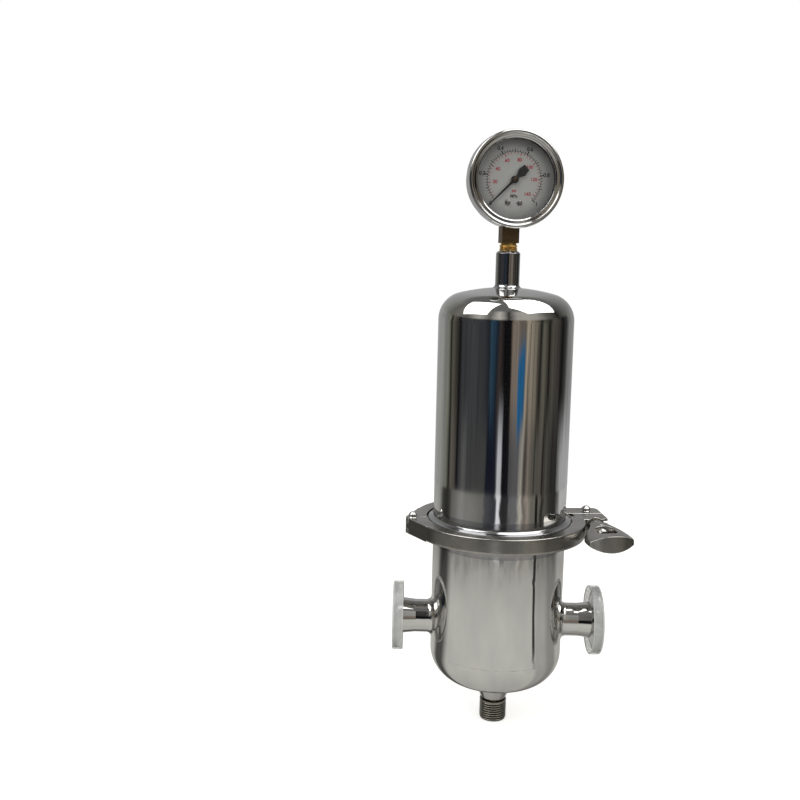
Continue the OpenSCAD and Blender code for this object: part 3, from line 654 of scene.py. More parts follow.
def dish_profile(r, knuckle, crown, inner_r=0.0):
    """Points from the rim (r, 0) up over the knuckle and the crown to radius inner_r."""
    drop = math.sqrt((crown - knuckle) ** 2 - (r - knuckle) ** 2)
    meet = math.degrees(math.atan2(drop, r - knuckle))
    # The first steps are short, so that the normals turn slowly where the knuckle leaves the straight wall.
    a = np.radians(meet * np.linspace(0, 1, KNUCKLE_STEPS) ** 1.6)
    over_knuckle = np.stack([r - knuckle + knuckle * np.cos(a), knuckle * np.sin(a)], 1)
    last = math.degrees(math.acos(inner_r / crown))
    over_crown = arc((0, -drop), crown, meet, last, CROWN_STEPS)
    return np.concatenate([over_knuckle, over_crown[1:]])


def dished_wall(knuckle, crown, hole_r):
    """Outside and inside of a dished wall with its rim at height 0 and a hole at its centre."""
    outside = dish_profile(SHELL_R, knuckle, crown, hole_r)
    inside = dish_profile(SHELL_R - WALL, knuckle - WALL, crown - WALL, hole_r)
    return outside, inside[::-1]


WALL_ROWS = 23
DOME_Z = DOME_TOP - dish_profile(SHELL_R, DOME_KNUCKLE, DOME_CROWN)[-1, 1]
outside, inside = dished_wall(DOME_KNUCKLE, DOME_CROWN, DOME_HOLE_R)
wall_z = np.linspace(SHELL_Z, DOME_Z, WALL_ROWS + 1)[:-1]
shell_profile = np.concatenate(
    [
        np.stack([np.full(WALL_ROWS, SHELL_R), wall_z], 1),
        outside + (0, DOME_Z),
        inside + (0, DOME_Z),
        np.stack([np.full(WALL_ROWS, SHELL_R - WALL), wall_z[::-1]], 1),
    ]
)
lathe(
    "polished_upper_shell", shell_profile, UPRIGHT, mirror_steel, "housing", SHELL_STEPS,
    replaces=["upper_shell", "upper_dome"],
)
print("dome starts at", round(DOME_Z, 2), "mm")

# %% [markdown]
# ## The gauge socket
# A plain round boss is welded to the dome. The weld has been ground to a hollow fillet and polished.

# %% Socket with its weld
SOCKET_R = 9.0
WELD = 3.0
BORE_R, BORE_DEPTH = 6.63, 18.0
CHAMFER = 1.6


def dome_height(r):
    """Height of the dome's outside at radius r, on its crown."""
    drop = math.sqrt((DOME_CROWN - DOME_KNUCKLE) ** 2 - (SHELL_R - DOME_KNUCKLE) ** 2)
    return DOME_Z - drop + math.sqrt(DOME_CROWN**2 - r**2)


foot = dome_height(SOCKET_R + WELD)
bore_floor = SOCKET_Z - BORE_DEPTH
mouth_edge = rounded(
    [[BORE_R, SOCKET_Z], [SOCKET_R - CHAMFER, SOCKET_Z], [SOCKET_R, SOCKET_Z - CHAMFER], [SOCKET_R, 0]],
    [0, 0.5, 0.5, 0],
)
sunk_foot = [
    [SOCKET_R, dome_height(SOCKET_R) - 0.05],
    [DOME_HOLE_R, dome_height(DOME_HOLE_R) - 0.02],
    [DOME_HOLE_R, bore_floor],
]
socket_profile = np.concatenate(
    [
        [[BORE_R, bore_floor], [BORE_R, SOCKET_Z]],
        mouth_edge[1:-1],
        arc((SOCKET_R + WELD, foot + WELD - 0.1), WELD, 180, 268, 14),
        sunk_foot,
    ]
)
lathe("gauge_socket_boss", socket_profile, UPRIGHT, dark_steel, "housing", 128, replaces=["gauge_socket"])

# %% [markdown]
# ## The base barrel and its two ports
# Each port is a tube that meets the barrel in a small polished fillet. A ball that rolls in the corner
# between the two tubes traces that fillet exactly: its centre keeps the ball's radius away from both, and
# the ball touches each tube at one point. The arc between the two points is one line of the surface.

# %% The rolling-ball fillet
PORT_FILLET = 4.0
AROUND = 144


def ball_centres(t):
    """Centre of the ball at angle t about the port's axis, as (x, y, z - port height)."""
    y = (PORT_R + PORT_FILLET) * np.cos(t)
    z = (PORT_R + PORT_FILLET) * np.sin(t)
    x = np.sqrt((SHELL_R + PORT_FILLET) ** 2 - y**2)
    return np.stack([x, y, z], 1)


def barrel_touch(t):
    """Where the ball touches the barrel: its centre pulled in to the barrel's radius."""
    centre = ball_centres(t)
    return centre * np.array([1, 1, 0]) * SHELL_R / (SHELL_R + PORT_FILLET) + centre * np.array([0, 0, 1])


def fillet_grid(t, steps=14):
    """Rows from the tube to the barrel, on arcs of the rolling ball."""
    centre = ball_centres(t)
    on_tube = np.stack([centre[:, 0], PORT_R * np.cos(t), PORT_R * np.sin(t)], 1)
    a = (on_tube - centre) / PORT_FILLET
    b = (barrel_touch(t) - centre) / PORT_FILLET
    angle = np.arccos(np.clip((a * b).sum(1), -1, 1))[None, :, None]
    s = np.linspace(0, 1, steps)[:, None, None]
    arcs = (np.sin((1 - s) * angle) * a[None] + np.sin(s * angle) * b[None]) / np.sin(angle)
    return centre[None] + PORT_FILLET * arcs

# %% [markdown]
# The port is a tube with a ferrule at its mouth. One skin runs from the bore's root out to the ferrule,
# back along the tube, over the fillet and in to the inside of the wall. So tube and fillet have no seam
# between them, and only the fillet's far edge meets the barrel.

# %% Port nozzles
FERRULE_RIM, FERRULE_BACK = 2.85, 6.7
FERRULE_KEPT = 14.0
FERRULE_MIDDLE = (13.5, PORT_REACH - 4)
TUBE_END = 12.0
ferrule_section = rounded(
    [
        [PORT_RI, PORT_REACH],
        [PORT_RI, 0],
        [PORT_R, 0],
        [PORT_R, PORT_REACH - FERRULE_BACK],
        [FERRULE_R, PORT_REACH - FERRULE_RIM],
        [FERRULE_R, PORT_REACH],
    ],
    [0.4, 0, 0, 2.2, 0.6, 0.5],
)


def port_ring(r, x, t):
    """Ring of radius r about the port's axis, at x from the housing's axis."""
    return np.stack([np.broadcast_to(x, t.shape), r * np.cos(t), r * np.sin(t)], 1)


def inner_wall_x(r, t):
    """Where a tube of radius r about the port's axis meets the inside of the barrel."""
    return np.sqrt((SHELL_R - WALL) ** 2 - (r * np.cos(t)) ** 2)


def nozzle(name, side, replaced):
    """Bore, ferrule, tube and fillet of one port, as one skin from the bore's root to the barrel."""
    t = full_turn(AROUND)
    outer = ferrule_section[ferrule_section[:, 1] > PORT_REACH - FERRULE_KEPT]
    # Known fault: sorting by angle leaves four rings of the back fillet for last. So the bore's skin runs
    # outside the tube near the ferrule and crosses it. The rings should follow the section's own order.
    r, x = (outer - FERRULE_MIDDLE).T
    outer = outer[np.argsort(-np.arctan2(r, x))]
    tube_x = np.linspace(PORT_REACH - TUBE_END, SHELL_R + PORT_FILLET + 2, 4)
    grid = np.concatenate(
        [
            [port_ring(PORT_RI, inner_wall_x(PORT_RI, t), t)],
            [port_ring(r, x, t) for r, x in outer],
            [port_ring(PORT_R, x, t) for x in tube_x],
            fillet_grid(t),
            [port_ring(PORT_R, inner_wall_x(PORT_R, t), t)],
        ]
    )
    grid = grid * np.array([side, side, 1]) + np.array([0, 0, PORT_Z])
    return grid_piece(name, grid, UPRIGHT, mirror_steel, "housing", replaces=[replaced])


nozzle("inlet_port", -1, "inlet_nozzle")
nozzle("outlet_port", 1, "outlet_nozzle")

# %% [markdown]
# The barrel has a round opening on each side, and its mesh has to flow round it. Each half of the barrel is
# unrolled to a flat sheet, and its grid runs from the opening's edge out to the sheet's border, like the
# rings of a target that slowly turn square. Rolled up again, every vertex lies exactly on the cylinder.


# %% Barrel
def barrel_half(radius, touch_s, touch_z, rings=40):
    """Grid from the opening to the border of half a barrel of that radius, in (arc length, height)."""
    t = full_turn(AROUND)
    half_w = radius * math.pi / 2
    top, bottom = BASE_TOP - PORT_Z, PORT_Z - DISH_Z
    c, s = np.cos(t), np.sin(t)
    sideways = half_w / np.maximum(abs(c), 1e-9)
    upwards = np.where(s > 0, top, bottom) / np.maximum(abs(s), 1e-9)
    reach = np.minimum(sideways, upwards)
    border = np.stack([reach * c, reach * s], 1)
    corner_t = [math.atan2(v, h) % (2 * math.pi) for h in (half_w, -half_w) for v in (top, -bottom)]
    for angle in corner_t:
        i = int(np.argmin(abs(t - angle)))
        border[i] = [math.copysign(half_w, math.cos(angle)), top if math.sin(angle) > 0 else -bottom]
    edge = np.stack([touch_s, touch_z], 1)
    u = np.linspace(0, 1, rings)[:, None, None] ** 1.3
    return edge[None] * (1 - u) + border[None] * u


def rolled(flat, radius, side):
    """The flat sheet rolled on to the cylinder, with its middle on the port's axis."""
    angle = flat[..., 0] / radius
    return np.stack(
        [side * radius * np.cos(angle), side * radius * np.sin(angle), flat[..., 1] + PORT_Z], -1
    )


def barrel_skin(side):
    """Outer skin, rim and inner skin of one half. The opening's edge stays open, under the fillet."""
    t = full_turn(AROUND)
    touch = barrel_touch(t)
    outer = barrel_half(SHELL_R, np.arcsin(touch[:, 1] / SHELL_R) * SHELL_R, touch[:, 2])
    inner_r = SHELL_R - WALL
    inner = barrel_half(inner_r, np.arcsin(PORT_R * np.cos(t) / inner_r) * inner_r, PORT_R * np.sin(t))
    grid = np.concatenate([rolled(outer, SHELL_R, side), rolled(inner, inner_r, side)[::-1]])
    return grid, grid_faces(len(grid), AROUND)


def smooth_barrel():
    """Both halves as one mesh. Where they meet, a face is left inside the wall, across its thickness."""
    grids, faces = zip(*(barrel_skin(side) for side in (-1, 1)))
    points = np.concatenate([g.reshape(-1, 3) for g in grids])
    shift = grids[0].shape[0] * AROUND
    quads = np.concatenate([faces[0], faces[1] + shift])
    name = "polished_base_barrel"
    return make_piece(name, points * MM, quads, mirror_steel, "housing", replaces=["base_barrel"])


smooth_barrel()

# %% [markdown]
# The bottom is a dished end like the dome's, upside down, with a larger crown and knuckle and with a hole
# for the drain. The same function makes both.

# %% Bottom dish
outside, inside = dished_wall(DISH_KNUCKLE, DISH_CROWN, DRAIN_BORE_R)
dish_down = np.concatenate([outside, inside]) * (1, -1) + (0, DISH_Z)
lathe(
    "polished_base_dish", dish_down, UPRIGHT, mirror_steel, "housing", SHELL_STEPS,
    replaces=["base_dish"],
)

# %% [markdown]
# ## The clamped ferrules
# Both body ferrules are alike: a straight end that is welded to the shell, a small root radius, and a
# flange with a sloped back that the clamp pulls on. One turned step on the slope catches a thin line of
# light inside the clamp.

# %% Body ferrules
FLANGE_R = high("upper_ferrule")[0]
FLANGE_L = high("upper_ferrule")[2] - low("upper_ferrule")[2]
FLANGE_SLOPE = math.tan(math.radians(20))
STEP_R, STEP_DEPTH, STEP_ROUND = 54.7, 1.0, 0.4
HUB_ROOT = 1.6


def flange_back(r):
    """Height of the flange's sloped back at radius r, above the ferrule's face."""
    return FERRULE_RIM + (FLANGE_R - r) * FLANGE_SLOPE


def body_ferrule(name, face_z, up_sign, replaced):
    """Ferrule with its face at face_z. Its neck goes up where up_sign is 1, and down where it is -1."""
    hub_r = SHELL_R + HUB_ROOT
    hub = flange_back(hub_r)
    section = rounded(
        [
            [SHELL_R - WALL, 0],
            [FLANGE_R, 0],
            [FLANGE_R, FERRULE_RIM],
            [STEP_R, flange_back(STEP_R) - STEP_DEPTH],
            [STEP_R, flange_back(STEP_R)],
            [hub_r, hub],
            [SHELL_R, hub + 1.2],
            [SHELL_R, FLANGE_L],
            [SHELL_R - WALL, FLANGE_L],
        ],
        [0, 0.35, 0.6, STEP_ROUND, STEP_ROUND, 0.5, 0.6, 0, 0],
    )
    section = section * (1, up_sign) + (0, face_z)
    return lathe(
        name, section, UPRIGHT, dark_steel, "housing", SHELL_STEPS,
        slot="turned_steel", replaces=[replaced],
    )


body_ferrule("upper_clamp_ferrule", low("upper_ferrule")[2], 1, "upper_ferrule")
body_ferrule("base_clamp_ferrule", high("base_ferrule")[2], -1, "base_ferrule")

# %% [markdown]
# ## Threads
# A thread is a cylinder whose radius goes in and out along a helix. On a grid of angle and height, the
# phase is height over pitch minus angle over a turn, and its fraction gives the flank's depth. Near both
# ends the depth fades to nothing, which is the run-out that a cutting tool leaves.


# %% Thread surface
def thread_skin(r, bore_r, pitch, length, steps=96, rows_per_turn=14):
    """Grid of a threaded sleeve: the bore's edge at height 0, the thread, the bore's edge at length."""
    depth = 0.6 * pitch
    rows = int(length / pitch * rows_per_turn)
    z = np.linspace(0, length, rows)[:, None]
    a = full_turn(steps)[None, :]
    phase = (z / pitch - a / (2 * math.pi)) % 1.0
    cut = np.clip(1.15 - abs(2 * phase - 1) * 1.3, 0, 1)
    lead_in = np.clip(z / pitch, 0, 1)
    run_out = np.clip((length - z) / pitch, 0, 1)
    chamfer = np.maximum(0, 0.55 * depth * (1 - z / (0.8 * pitch)))
    radius = r - depth * cut * run_out * lead_in - chamfer
    outer = np.stack(np.broadcast_arrays(radius * np.cos(a), radius * np.sin(a), z), -1)
    hole = np.stack([bore_r * np.cos(a[0]), bore_r * np.sin(a[0]), np.zeros(steps)], -1)
    top = hole + np.array([0, 0, length])
    return np.concatenate([[hole], outer, [top]])

# %% [markdown]
# Below the dish a round boss narrows to a neck, and the drain's threaded sleeve hangs from it. The thread
# is a grid of its own, because a turned profile can't climb.

# %% Drain nipple
BOSS_R, NECK_R, BOSS_TAPER = 13.0, 8.9, 9.5
thread = thread_skin(DRAIN_R, DRAIN_BORE_R, DRAIN_PITCH, DRAIN_L)
grid_piece(
    "drain_thread_sleeve", thread, UPRIGHT, drain_steel, "housing",
    slot="turned_steel", sharp=60, replaces=["drain_nipple"],
)
boss_top = DISH_Z - dish_profile(SHELL_R, DISH_KNUCKLE, DISH_CROWN, BOSS_R)[-1, 1] + 0.15
boss = rounded(
    [
        [DRAIN_BORE_R, DRAIN_L],
        [NECK_R, DRAIN_L],
        [BOSS_R, DRAIN_L + BOSS_TAPER],
        [BOSS_R, boss_top],
        [DRAIN_BORE_R, boss_top],
    ],
    [0, 0.6, 2.5, 0, 0],
)
lathe("drain_boss", boss, UPRIGHT, mirror_steel, "housing", 192, slot="turned_steel")

# %% [markdown]
# ## Dust caps
# The caps are blown in soft polythene. Their rims are round, and the skirt is a thin lip past the ferrule.

# %% Caps
CAP_WALL = 1.2


def dust_cap(name, node, body, side):
    """A shallow cup with round edges, its mouth towards the housing."""
    lo, hi = low(node), high(node)
    reach = max(abs(lo[0]), abs(hi[0]))
    depth = hi[0] - lo[0]
    r = (hi[2] - lo[2]) / 2
    inner_r, inner_z = r - CAP_WALL, depth - CAP_WALL
    cup = rounded(
        [[0, depth], [r, depth], [r, 0], [inner_r, 0], [inner_r, inner_z], [0, inner_z]],
        [0, 1.7, 0.55, 0.5, 0.8, 0],
        10,
    )
    mouth = place((side * (reach - depth), 0, PORT_Z), (side, 0, 0), (0, 1, 0))
    return lathe(name, cup, mouth, cap_plastic, body, 160, replaces=[node])


dust_cap("inlet_dust_cap", "inlet_cap", "inlet_cover", -1)
dust_cap("outlet_dust_cap", "outlet_cap", "outlet_cover", 1)

# %% [markdown]
# ## The gauge
# The pointer's joint gives the gauge its frame: the joint's place is the dial's centre, and its axis points
# from the reader into the dial. Everything on the gauge is then drawn flat, as a dial maker would.

# %% Gauge frame
GAUGE = place(DIAL_CENTRE / MM, FACING, Vector((0, 0, 1)).cross(FACING))
BEZEL_R = 35.25
CASE_R = 32.0
VIEW_R = 29.0
BEZEL_FRONT = 19.5
BEZEL_BACK, BEZEL_SEAT = 7.5, 16.9
GLASS_BACK, GLASS_FRONT = 14.9, 16.7
DIAL_FACE = 10.0

# %% [markdown]
# The bezel is a polished ring round the case's front, and the window lies behind its lip. Both are turned
# profiles whose heights are measured from the pointer's joint towards the reader.

# %% Bezel and window
bezel = rounded(
    [
        [VIEW_R, 15.9],
        [VIEW_R, 17.4],
        [VIEW_R + 1.0, 18.0],
        [VIEW_R + 3.1, 17.6],
        [BEZEL_R - 1.9, BEZEL_FRONT],
        [BEZEL_R, BEZEL_FRONT - 1.6],
        [BEZEL_R, BEZEL_BACK],
        [CASE_R + 1.6, BEZEL_BACK],
        [CASE_R + 1.6, BEZEL_SEAT],
        [VIEW_R + 1.2, BEZEL_SEAT],
    ],
    [0.2, 0.5, 0.7, 0.6, 1.6, 1.5, 0.6, 0.1, 0.2, 0.1],
    10,
)
lathe("gauge_bezel_ring", bezel, GAUGE, gauge_chrome, "housing", 256, replaces=["gauge_bezel"])
glass_r = CASE_R + 0.6
glass = rounded(
    [[0, GLASS_BACK], [glass_r, GLASS_BACK], [glass_r, GLASS_FRONT], [0, GLASS_FRONT]], [0, 0.2, 0.2, 0]
)
lathe("gauge_glass", glass, GAUGE, window_glass, "housing", 160, replaces=["gauge_window"])

# %% [markdown]
# ## The dial's print
# Printed marks are thin raised shapes here, less than a tenth of a millimetre proud, so they show from any
# side and keep their sharp edges. A scale mark is a small bar at a radius and an angle. All bars of one
# colour are one mesh, and the eight corners of every bar are worked out together as one array.

# %% Scale marks
SWEEP = 270.0
SCALE_START = 90 + SWEEP / 2
SCALE_R = 20.1
PRINT = 0.08


def dial_angle(share):
    """Angle on the dial, in degrees, of a share of the full scale."""
    return SCALE_START - SWEEP * share


def bars(shares, inner, outer, width):
    """Bars from radius inner to outer at each share of the scale; returns (n, 8, 3) points."""
    a = np.radians(dial_angle(np.asarray(shares, float)))[:, None]
    r = np.array([inner, outer, outer, inner] * 2)[None]
    across = np.array([-1, -1, 1, 1] * 2)[None] * width / 2
    z = np.array([0] * 4 + [PRINT] * 4)[None] + DIAL_FACE
    x = r * np.cos(a) - across * np.sin(a)
    y = r * np.sin(a) + across * np.cos(a)
    return np.stack(np.broadcast_arrays(x, y, z), -1)


BAR_FACES = np.array([[0, 1, 2, 3], [7, 6, 5, 4], [0, 4, 5, 1], [1, 5, 6, 2], [2, 6, 7, 3], [3, 7, 4, 0]])


def printed_bars(name, groups, material):
    """One mesh of all the bars in groups."""
    corners = np.concatenate(groups)
    faces = (np.arange(len(corners))[:, None, None] * 8 + BAR_FACES[None]).reshape(-1, 4)
    points = put(corners.reshape(-1, 3), GAUGE)
    return make_piece(name, points, faces, material, "housing", slot="dial_paint")


def printed_arc(name, r, width, material, steps=121):
    """A thin line along the whole scale: a flat ring sector, open at its two ends."""
    a = np.radians(dial_angle(np.linspace(0, 1, steps)))[:, None]
    r4 = r + np.array([-1, 1, 1, -1])[None] * width / 2
    z4 = np.array([0, 0, PRINT, PRINT])[None] + DIAL_FACE
    grid = np.stack(np.broadcast_arrays(r4 * np.cos(a), r4 * np.sin(a), z4), -1)
    return grid_piece(name, grid, GAUGE, material, "housing", wrap_rows=False, slot="dial_paint")


metric = np.linspace(0, 1, 51)
tenths = np.linspace(0, 1, 11)
fifths = np.linspace(0, 1, 6)
printed_bars(
    "metric_marks",
    [
        bars(metric, SCALE_R, SCALE_R + 1.5, 0.44),
        bars(tenths, SCALE_R, SCALE_R + 2.0, 0.56),
        bars(fifths, SCALE_R - 0.4, SCALE_R + 2.4, 0.8),
    ],
    black_print,
)
printed_arc("scale_line", SCALE_R, 0.3, black_print)
POUNDS_FULL = 145.0
pounds = np.arange(0, 146, 4) / POUNDS_FULL
twenties = np.arange(0, 141, 20) / POUNDS_FULL
printed_bars(
    "pound_marks",
    [
        bars(pounds, SCALE_R - 1.9, SCALE_R - 0.4, 0.40),
        bars(twenties, SCALE_R - 2.6, SCALE_R - 0.4, 0.55),
    ],
    red_print,
)

# %% [markdown]
# The figures are Blender text, turned into a thin mesh and laid on the dial. Print on the real dial is
# bolder than this font, so the curve's offset thickens the letters a little.

# %% Numerals
CAPITAL_SHARE = 0.7
BOLDNESS = 0.035


def print_text(name, words, x, y, height, material):
    """Words as a thin mesh centred at (x, y) on the dial, their capitals about height mm tall."""
    curve = bpy.data.curves.new(name, "FONT")
    curve.body = words
    curve.align_x, curve.align_y = "CENTER", "CENTER"
    curve.size = height / CAPITAL_SHARE
    curve.extrude = PRINT / 2
    curve.offset = BOLDNESS * height
    flat = add_object(name, curve)
    mesh = bpy.data.meshes.new_from_object(flat)
    bpy.data.objects.remove(flat)
    local = np.zeros(len(mesh.vertices) * 3)
    mesh.vertices.foreach_get("co", local)
    local = local.reshape(-1, 3) + (x, y, DIAL_FACE + PRINT / 2)
    mesh.vertices.foreach_set("co", put(local, GAUGE).ravel())
    mesh.materials.clear()
    mesh.materials.append(material)
    piece = add_object(name, mesh)
    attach(piece, "housing")
    return piece


def numeral(words, share, radius, height, material):
    """A number beside its place on the scale."""
    a = math.radians(dial_angle(share))
    name = "numeral_" + words.replace(".", "_")
    return print_text(name, words, radius * math.cos(a), radius * math.sin(a), height, material)


for i in range(6):
    numeral(f"{i / 5:g}", i / 5, SCALE_R + 4.3, 2.7, black_print)
for value in (20, 40, 60, 80, 100, 120, 145):
    numeral(str(value), value / POUNDS_FULL, SCALE_R - 5.6, 2.5, red_print)
print_text("unit_pounds", "psi", 0, -7.9, 2.2, red_print)
print_text("unit_metric", "MPa", 0, -11.9, 2.2, black_print)
print("dial printed from", dial_angle(0), "to", dial_angle(1), "degrees")

# %% [markdown]
# ## Dial screws and pointer hub
# Two slotted screws hold the dial. Their heads are low domes, and a narrow bar of brighter steel across each
# stands for the slot, which is too small here to be cut, and for the slot's painted highlight. The pointer
# turns with a black hub and its brass cap.

# %% Screws and hub
SCREW_X, SCREW_Y = 4.4, -16.6
SCREW_R, SCREW_TOP = 2.0, 1.25
head = rounded(
    [
        [0, DIAL_FACE],
        [SCREW_R, DIAL_FACE],
        [SCREW_R, DIAL_FACE + 0.8],
        [0, DIAL_FACE + SCREW_TOP],
    ],
    [0, 0.05, 0.5, 0],
)
SLOT_X, SLOT_Y, SLOT_Z = 1.7, 0.3, (0.9, 1.4)
slot_outline = [(-SLOT_X, -SLOT_Y), (SLOT_X, -SLOT_Y), (SLOT_X, SLOT_Y), (-SLOT_X, SLOT_Y)]
slot_highlight_box = np.array([[x, y, z + DIAL_FACE] for z in SLOT_Z for x, y in slot_outline])
for word, side, angle in (("left", -1, 35), ("right", 1, -20)):
    a = math.radians(angle)
    spot = GAUGE @ place((side * SCREW_X, SCREW_Y, 0), (0, 0, 1), (math.cos(a), math.sin(a), 0))
    lathe(f"dial_screw_{word}", head, spot, dark_steel, "housing", 48)
    # The bar is brighter steel than the head: a painted highlight on the slot.
    make_piece(f"screw_slot_highlight_{word}", put(slot_highlight_box, spot), BAR_FACES, turned_steel, "housing")
hub = rounded([[0.7, 11.2], [2.7, 11.2], [2.7, 12.1], [1.9, 12.7], [0.7, 12.7]], [0, 0.1, 0.5, 0.3, 0.1])
lathe("pointer_hub", hub, GAUGE, pointer_paint, "pointer", 64)
cap = rounded([[0, 12.0], [1.5, 12.0], [1.5, 12.9], [0, 13.1]], [0, 0, 0.4, 0])
lathe("pointer_hub_cap", cap, GAUGE, brass, "pointer", 48)

# %% [markdown]
# ## The stem's thread
# Between the square block and the socket a short stretch of the stem's thread shows, still bright gold.

# %% Visible thread of the stem
STEM = place((0, 0, SOCKET_Z - 0.4))
STEM_R, STEM_BORE_R, STEM_PITCH, STEM_SHOWN = 6.75, 5.4, 1.34, 4.8
stem_thread = thread_skin(STEM_R, STEM_BORE_R, STEM_PITCH, STEM_SHOWN, 72, 12)
grid_piece("stem_thread", stem_thread, STEM, brass, "housing", sharp=60)

# %% [markdown]
# ## The swing bolt
# The bolt is an eye on a threaded shank. The eye turns about its upright pin, the shank lies along the
# nut's axis, and its round tip shows in the wing's window.

# %% Swing bolt
BOLT_AXIS = Vector(joints["wing_nut_turn"]["axis"])
BOLT_PIVOT = Vector(joints["bolt_swing"]["pos_m"]) / MM
BOLT_R, BOLT_TIP, BOLT_START, BOLT_PITCH = 4.0, 52.0, 14.0, 1.25
EYE_BORE, EYE_R, EYE_HALF = 3.06, 7.0, 4.0
NECK_FROM, NECK_TO, SHANK_R = 5.0, BOLT_START + 1.0, BOLT_R - 0.4
eye = rounded(
    [[EYE_BORE, -EYE_HALF], [EYE_R, -EYE_HALF], [EYE_R, EYE_HALF], [EYE_BORE, EYE_HALF]],
    [0.3, 0.7, 0.7, 0.3],
)
lathe("bolt_eye", eye, place(BOLT_PIVOT), turned_steel, "bolt", 96, replaces=["swing_bolt"])
root = place(BOLT_PIVOT, BOLT_AXIS, (0, 0, 1))
neck = [[0, NECK_FROM], [SHANK_R, NECK_FROM], [SHANK_R, NECK_TO], [0, NECK_TO]]
lathe("bolt_neck", neck, root, turned_steel, "bolt", 64)
tip = place(BOLT_PIVOT + BOLT_AXIS * BOLT_TIP, -BOLT_AXIS, (0, 0, 1))
bolt_thread = thread_skin(BOLT_R, 0.0, BOLT_PITCH, BOLT_TIP - BOLT_START, 64, 12)
grid_piece("bolt_thread", bolt_thread, tip, turned_steel, "bolt", wrap_rows=False, sharp=60)

# %% [markdown]
# The two upright pins end in low polished domes on top of the clamp's forks.

# %% Pin heads
PIN_DOME, PIN_SKIRT, PIN_SINK = 2.3, 0.7, 0.5


def pin_head(name, node, spot, r):
    """A low dome on the top end of a pin."""
    top = high(node)[2]
    outline = [[0, -PIN_SINK], [r, -PIN_SINK], [r, PIN_SKIRT], [0.5 * r, PIN_DOME], [0, PIN_DOME]]
    dome = rounded(outline, [0, 0, 1.1, 1.2, 0], 10)
    lathe(name, dome, place((spot[0], spot[1], top)), mirror_steel, "housing", 64)


for name, node, r in (("hinge_pin_head", "clamp_hinge_pin", 3.3), ("bolt_pin_head", "swing_bolt_pin", 3.6)):
    pin_head(name, node, (low(node) + high(node)) / 2, r)

# %% [markdown]
# ## Finishes for the rest
# Nodes whose CAD shape is right only need their material. The clamp, the washer and the nut keep their exact
# solids, and the satin recipe rounds their edges in its normals.

# %% Materials of the CAD nodes
FINISHES = {
    "satin_steel": ["clamp_back_half", "clamp_front_half", "nut_washer", "wing_nut"],
    "turned_steel": ["clamp_hinge_pin", "swing_bolt_pin", "outlet_elbow", "cartridge_seat", "dial_screws"],
    "gauge_chrome": ["gauge_case"],
    "brass": [
        "gauge_stem", "bourdon_tube", "tube_tip", "tip_link", "movement_plates", "movement_pillars",
        "sector_gear", "pinion_arbor", "hairspring",
    ],
    "dial_paint": ["gauge_dial"],
    "pointer_paint": ["gauge_pointer"],
    "filter_plastic": [
        "cartridge_spigot", "cartridge_bottom_cap", "cartridge_core", "cartridge_cage",
        "cartridge_top_cap",
    ],
    "filter_media": ["cartridge_media"],
    "white_rubber": ["body_gasket"],
    "black_rubber": ["cartridge_o_rings", "window_gasket"],
}
for finish_name, members in FINISHES.items():
    for node in members:
        data = nodes[node].data
        data.materials.clear()
        data.materials.append(bpy.data.materials[finish_name])
    print(finish_name, "on", ", ".join(members))

# %% [markdown]
# ## The stage
# A mirror needs something to reflect, so the room has tall panels around the object at set bearings. A
# bearing is in degrees from the front towards the right port. The wall has three heights, and each has its
# own list. Behind the object all three are the pale backdrop, which lights the shells' two outer edges.

# %% Panels of the room
BACKDROP = (0.42, 0.42, 0.425)
CHARCOAL = (0.045, 0.047, 0.052)
SOOT = (0.006, 0.006, 0.007)
MIDDLE_ROOM = [
    (-180, BACKDROP), (-134, (0.34, 0.345, 0.33)), (-121, (0.22, 0.225, 0.21)), (-112, (0.20, 0.21, 0.17)),
    (-107, SOOT), (-102, (0.13, 0.12, 0.10)), (-86, SOOT), (-82, CHARCOAL),
    (-62, (0.060, 0.062, 0.068)), (-40, CHARCOAL), (-31, (0.02, 0.022, 0.028)), (-26, (0.03, 0.07, 0.115)),
    (-17, (0.012, 0.02, 0.035)), (-13, (0.05, 0.038, 0.036)), (-6, SOOT), (5, SOOT), (8, (0.20, 0.16, 0.13)),
    (16, (0.26, 0.22, 0.19)), (20, (0.16, 0.135, 0.115)), (29, (0.15, 0.13, 0.11)), (32, (0.42, 0.36, 0.28)),
    (50, (0.20, 0.175, 0.14)), (57, SOOT), (63, (0.13, 0.125, 0.10)), (74, (0.015, 0.015, 0.012)),
    (82, (0.10, 0.095, 0.08)), (98, (0.06, 0.055, 0.05)), (106, SOOT), (118, (0.05, 0.05, 0.05)),
    (126, (0.20, 0.20, 0.20)), (140, (0.30, 0.30, 0.30)), (180, BACKDROP),
]
LOWER_ROOM = [
    (-180, BACKDROP), (-134, (0.34, 0.345, 0.33)), (-121, (0.22, 0.225, 0.21)), (-114, (0.19, 0.20, 0.16)),
    (-107, SOOT), (-102, (0.13, 0.12, 0.10)), (-92, (0.10, 0.09, 0.08)), (-87, SOOT), (-82, CHARCOAL),
    (-72, (0.13, 0.13, 0.13)), (-64, (0.06, 0.062, 0.062)), (-32, (0.065, 0.066, 0.066)),
    (-30, (0.010, 0.012, 0.022)), (-13, (0.012, 0.014, 0.026)), (-11, (0.62, 0.62, 0.66)),
    (-5, (0.62, 0.62, 0.66)), (-3, SOOT), (7, (0.010, 0.010, 0.014)), (9, (0.10, 0.10, 0.105)),
    (24, (0.12, 0.12, 0.125)), (29, (0.45, 0.43, 0.38)), (34, (0.10, 0.09, 0.08)), (40, (0.26, 0.22, 0.19)),
    (48, (0.11, 0.105, 0.09)), (66, (0.105, 0.10, 0.085)), (69, SOOT), (73, (0.10, 0.095, 0.08)),
    (84, (0.05, 0.047, 0.043)), (100, (0.03, 0.03, 0.03)), (110, (0.28, 0.28, 0.28)),
    (116, (0.46, 0.46, 0.47)), (180, BACKDROP),
]
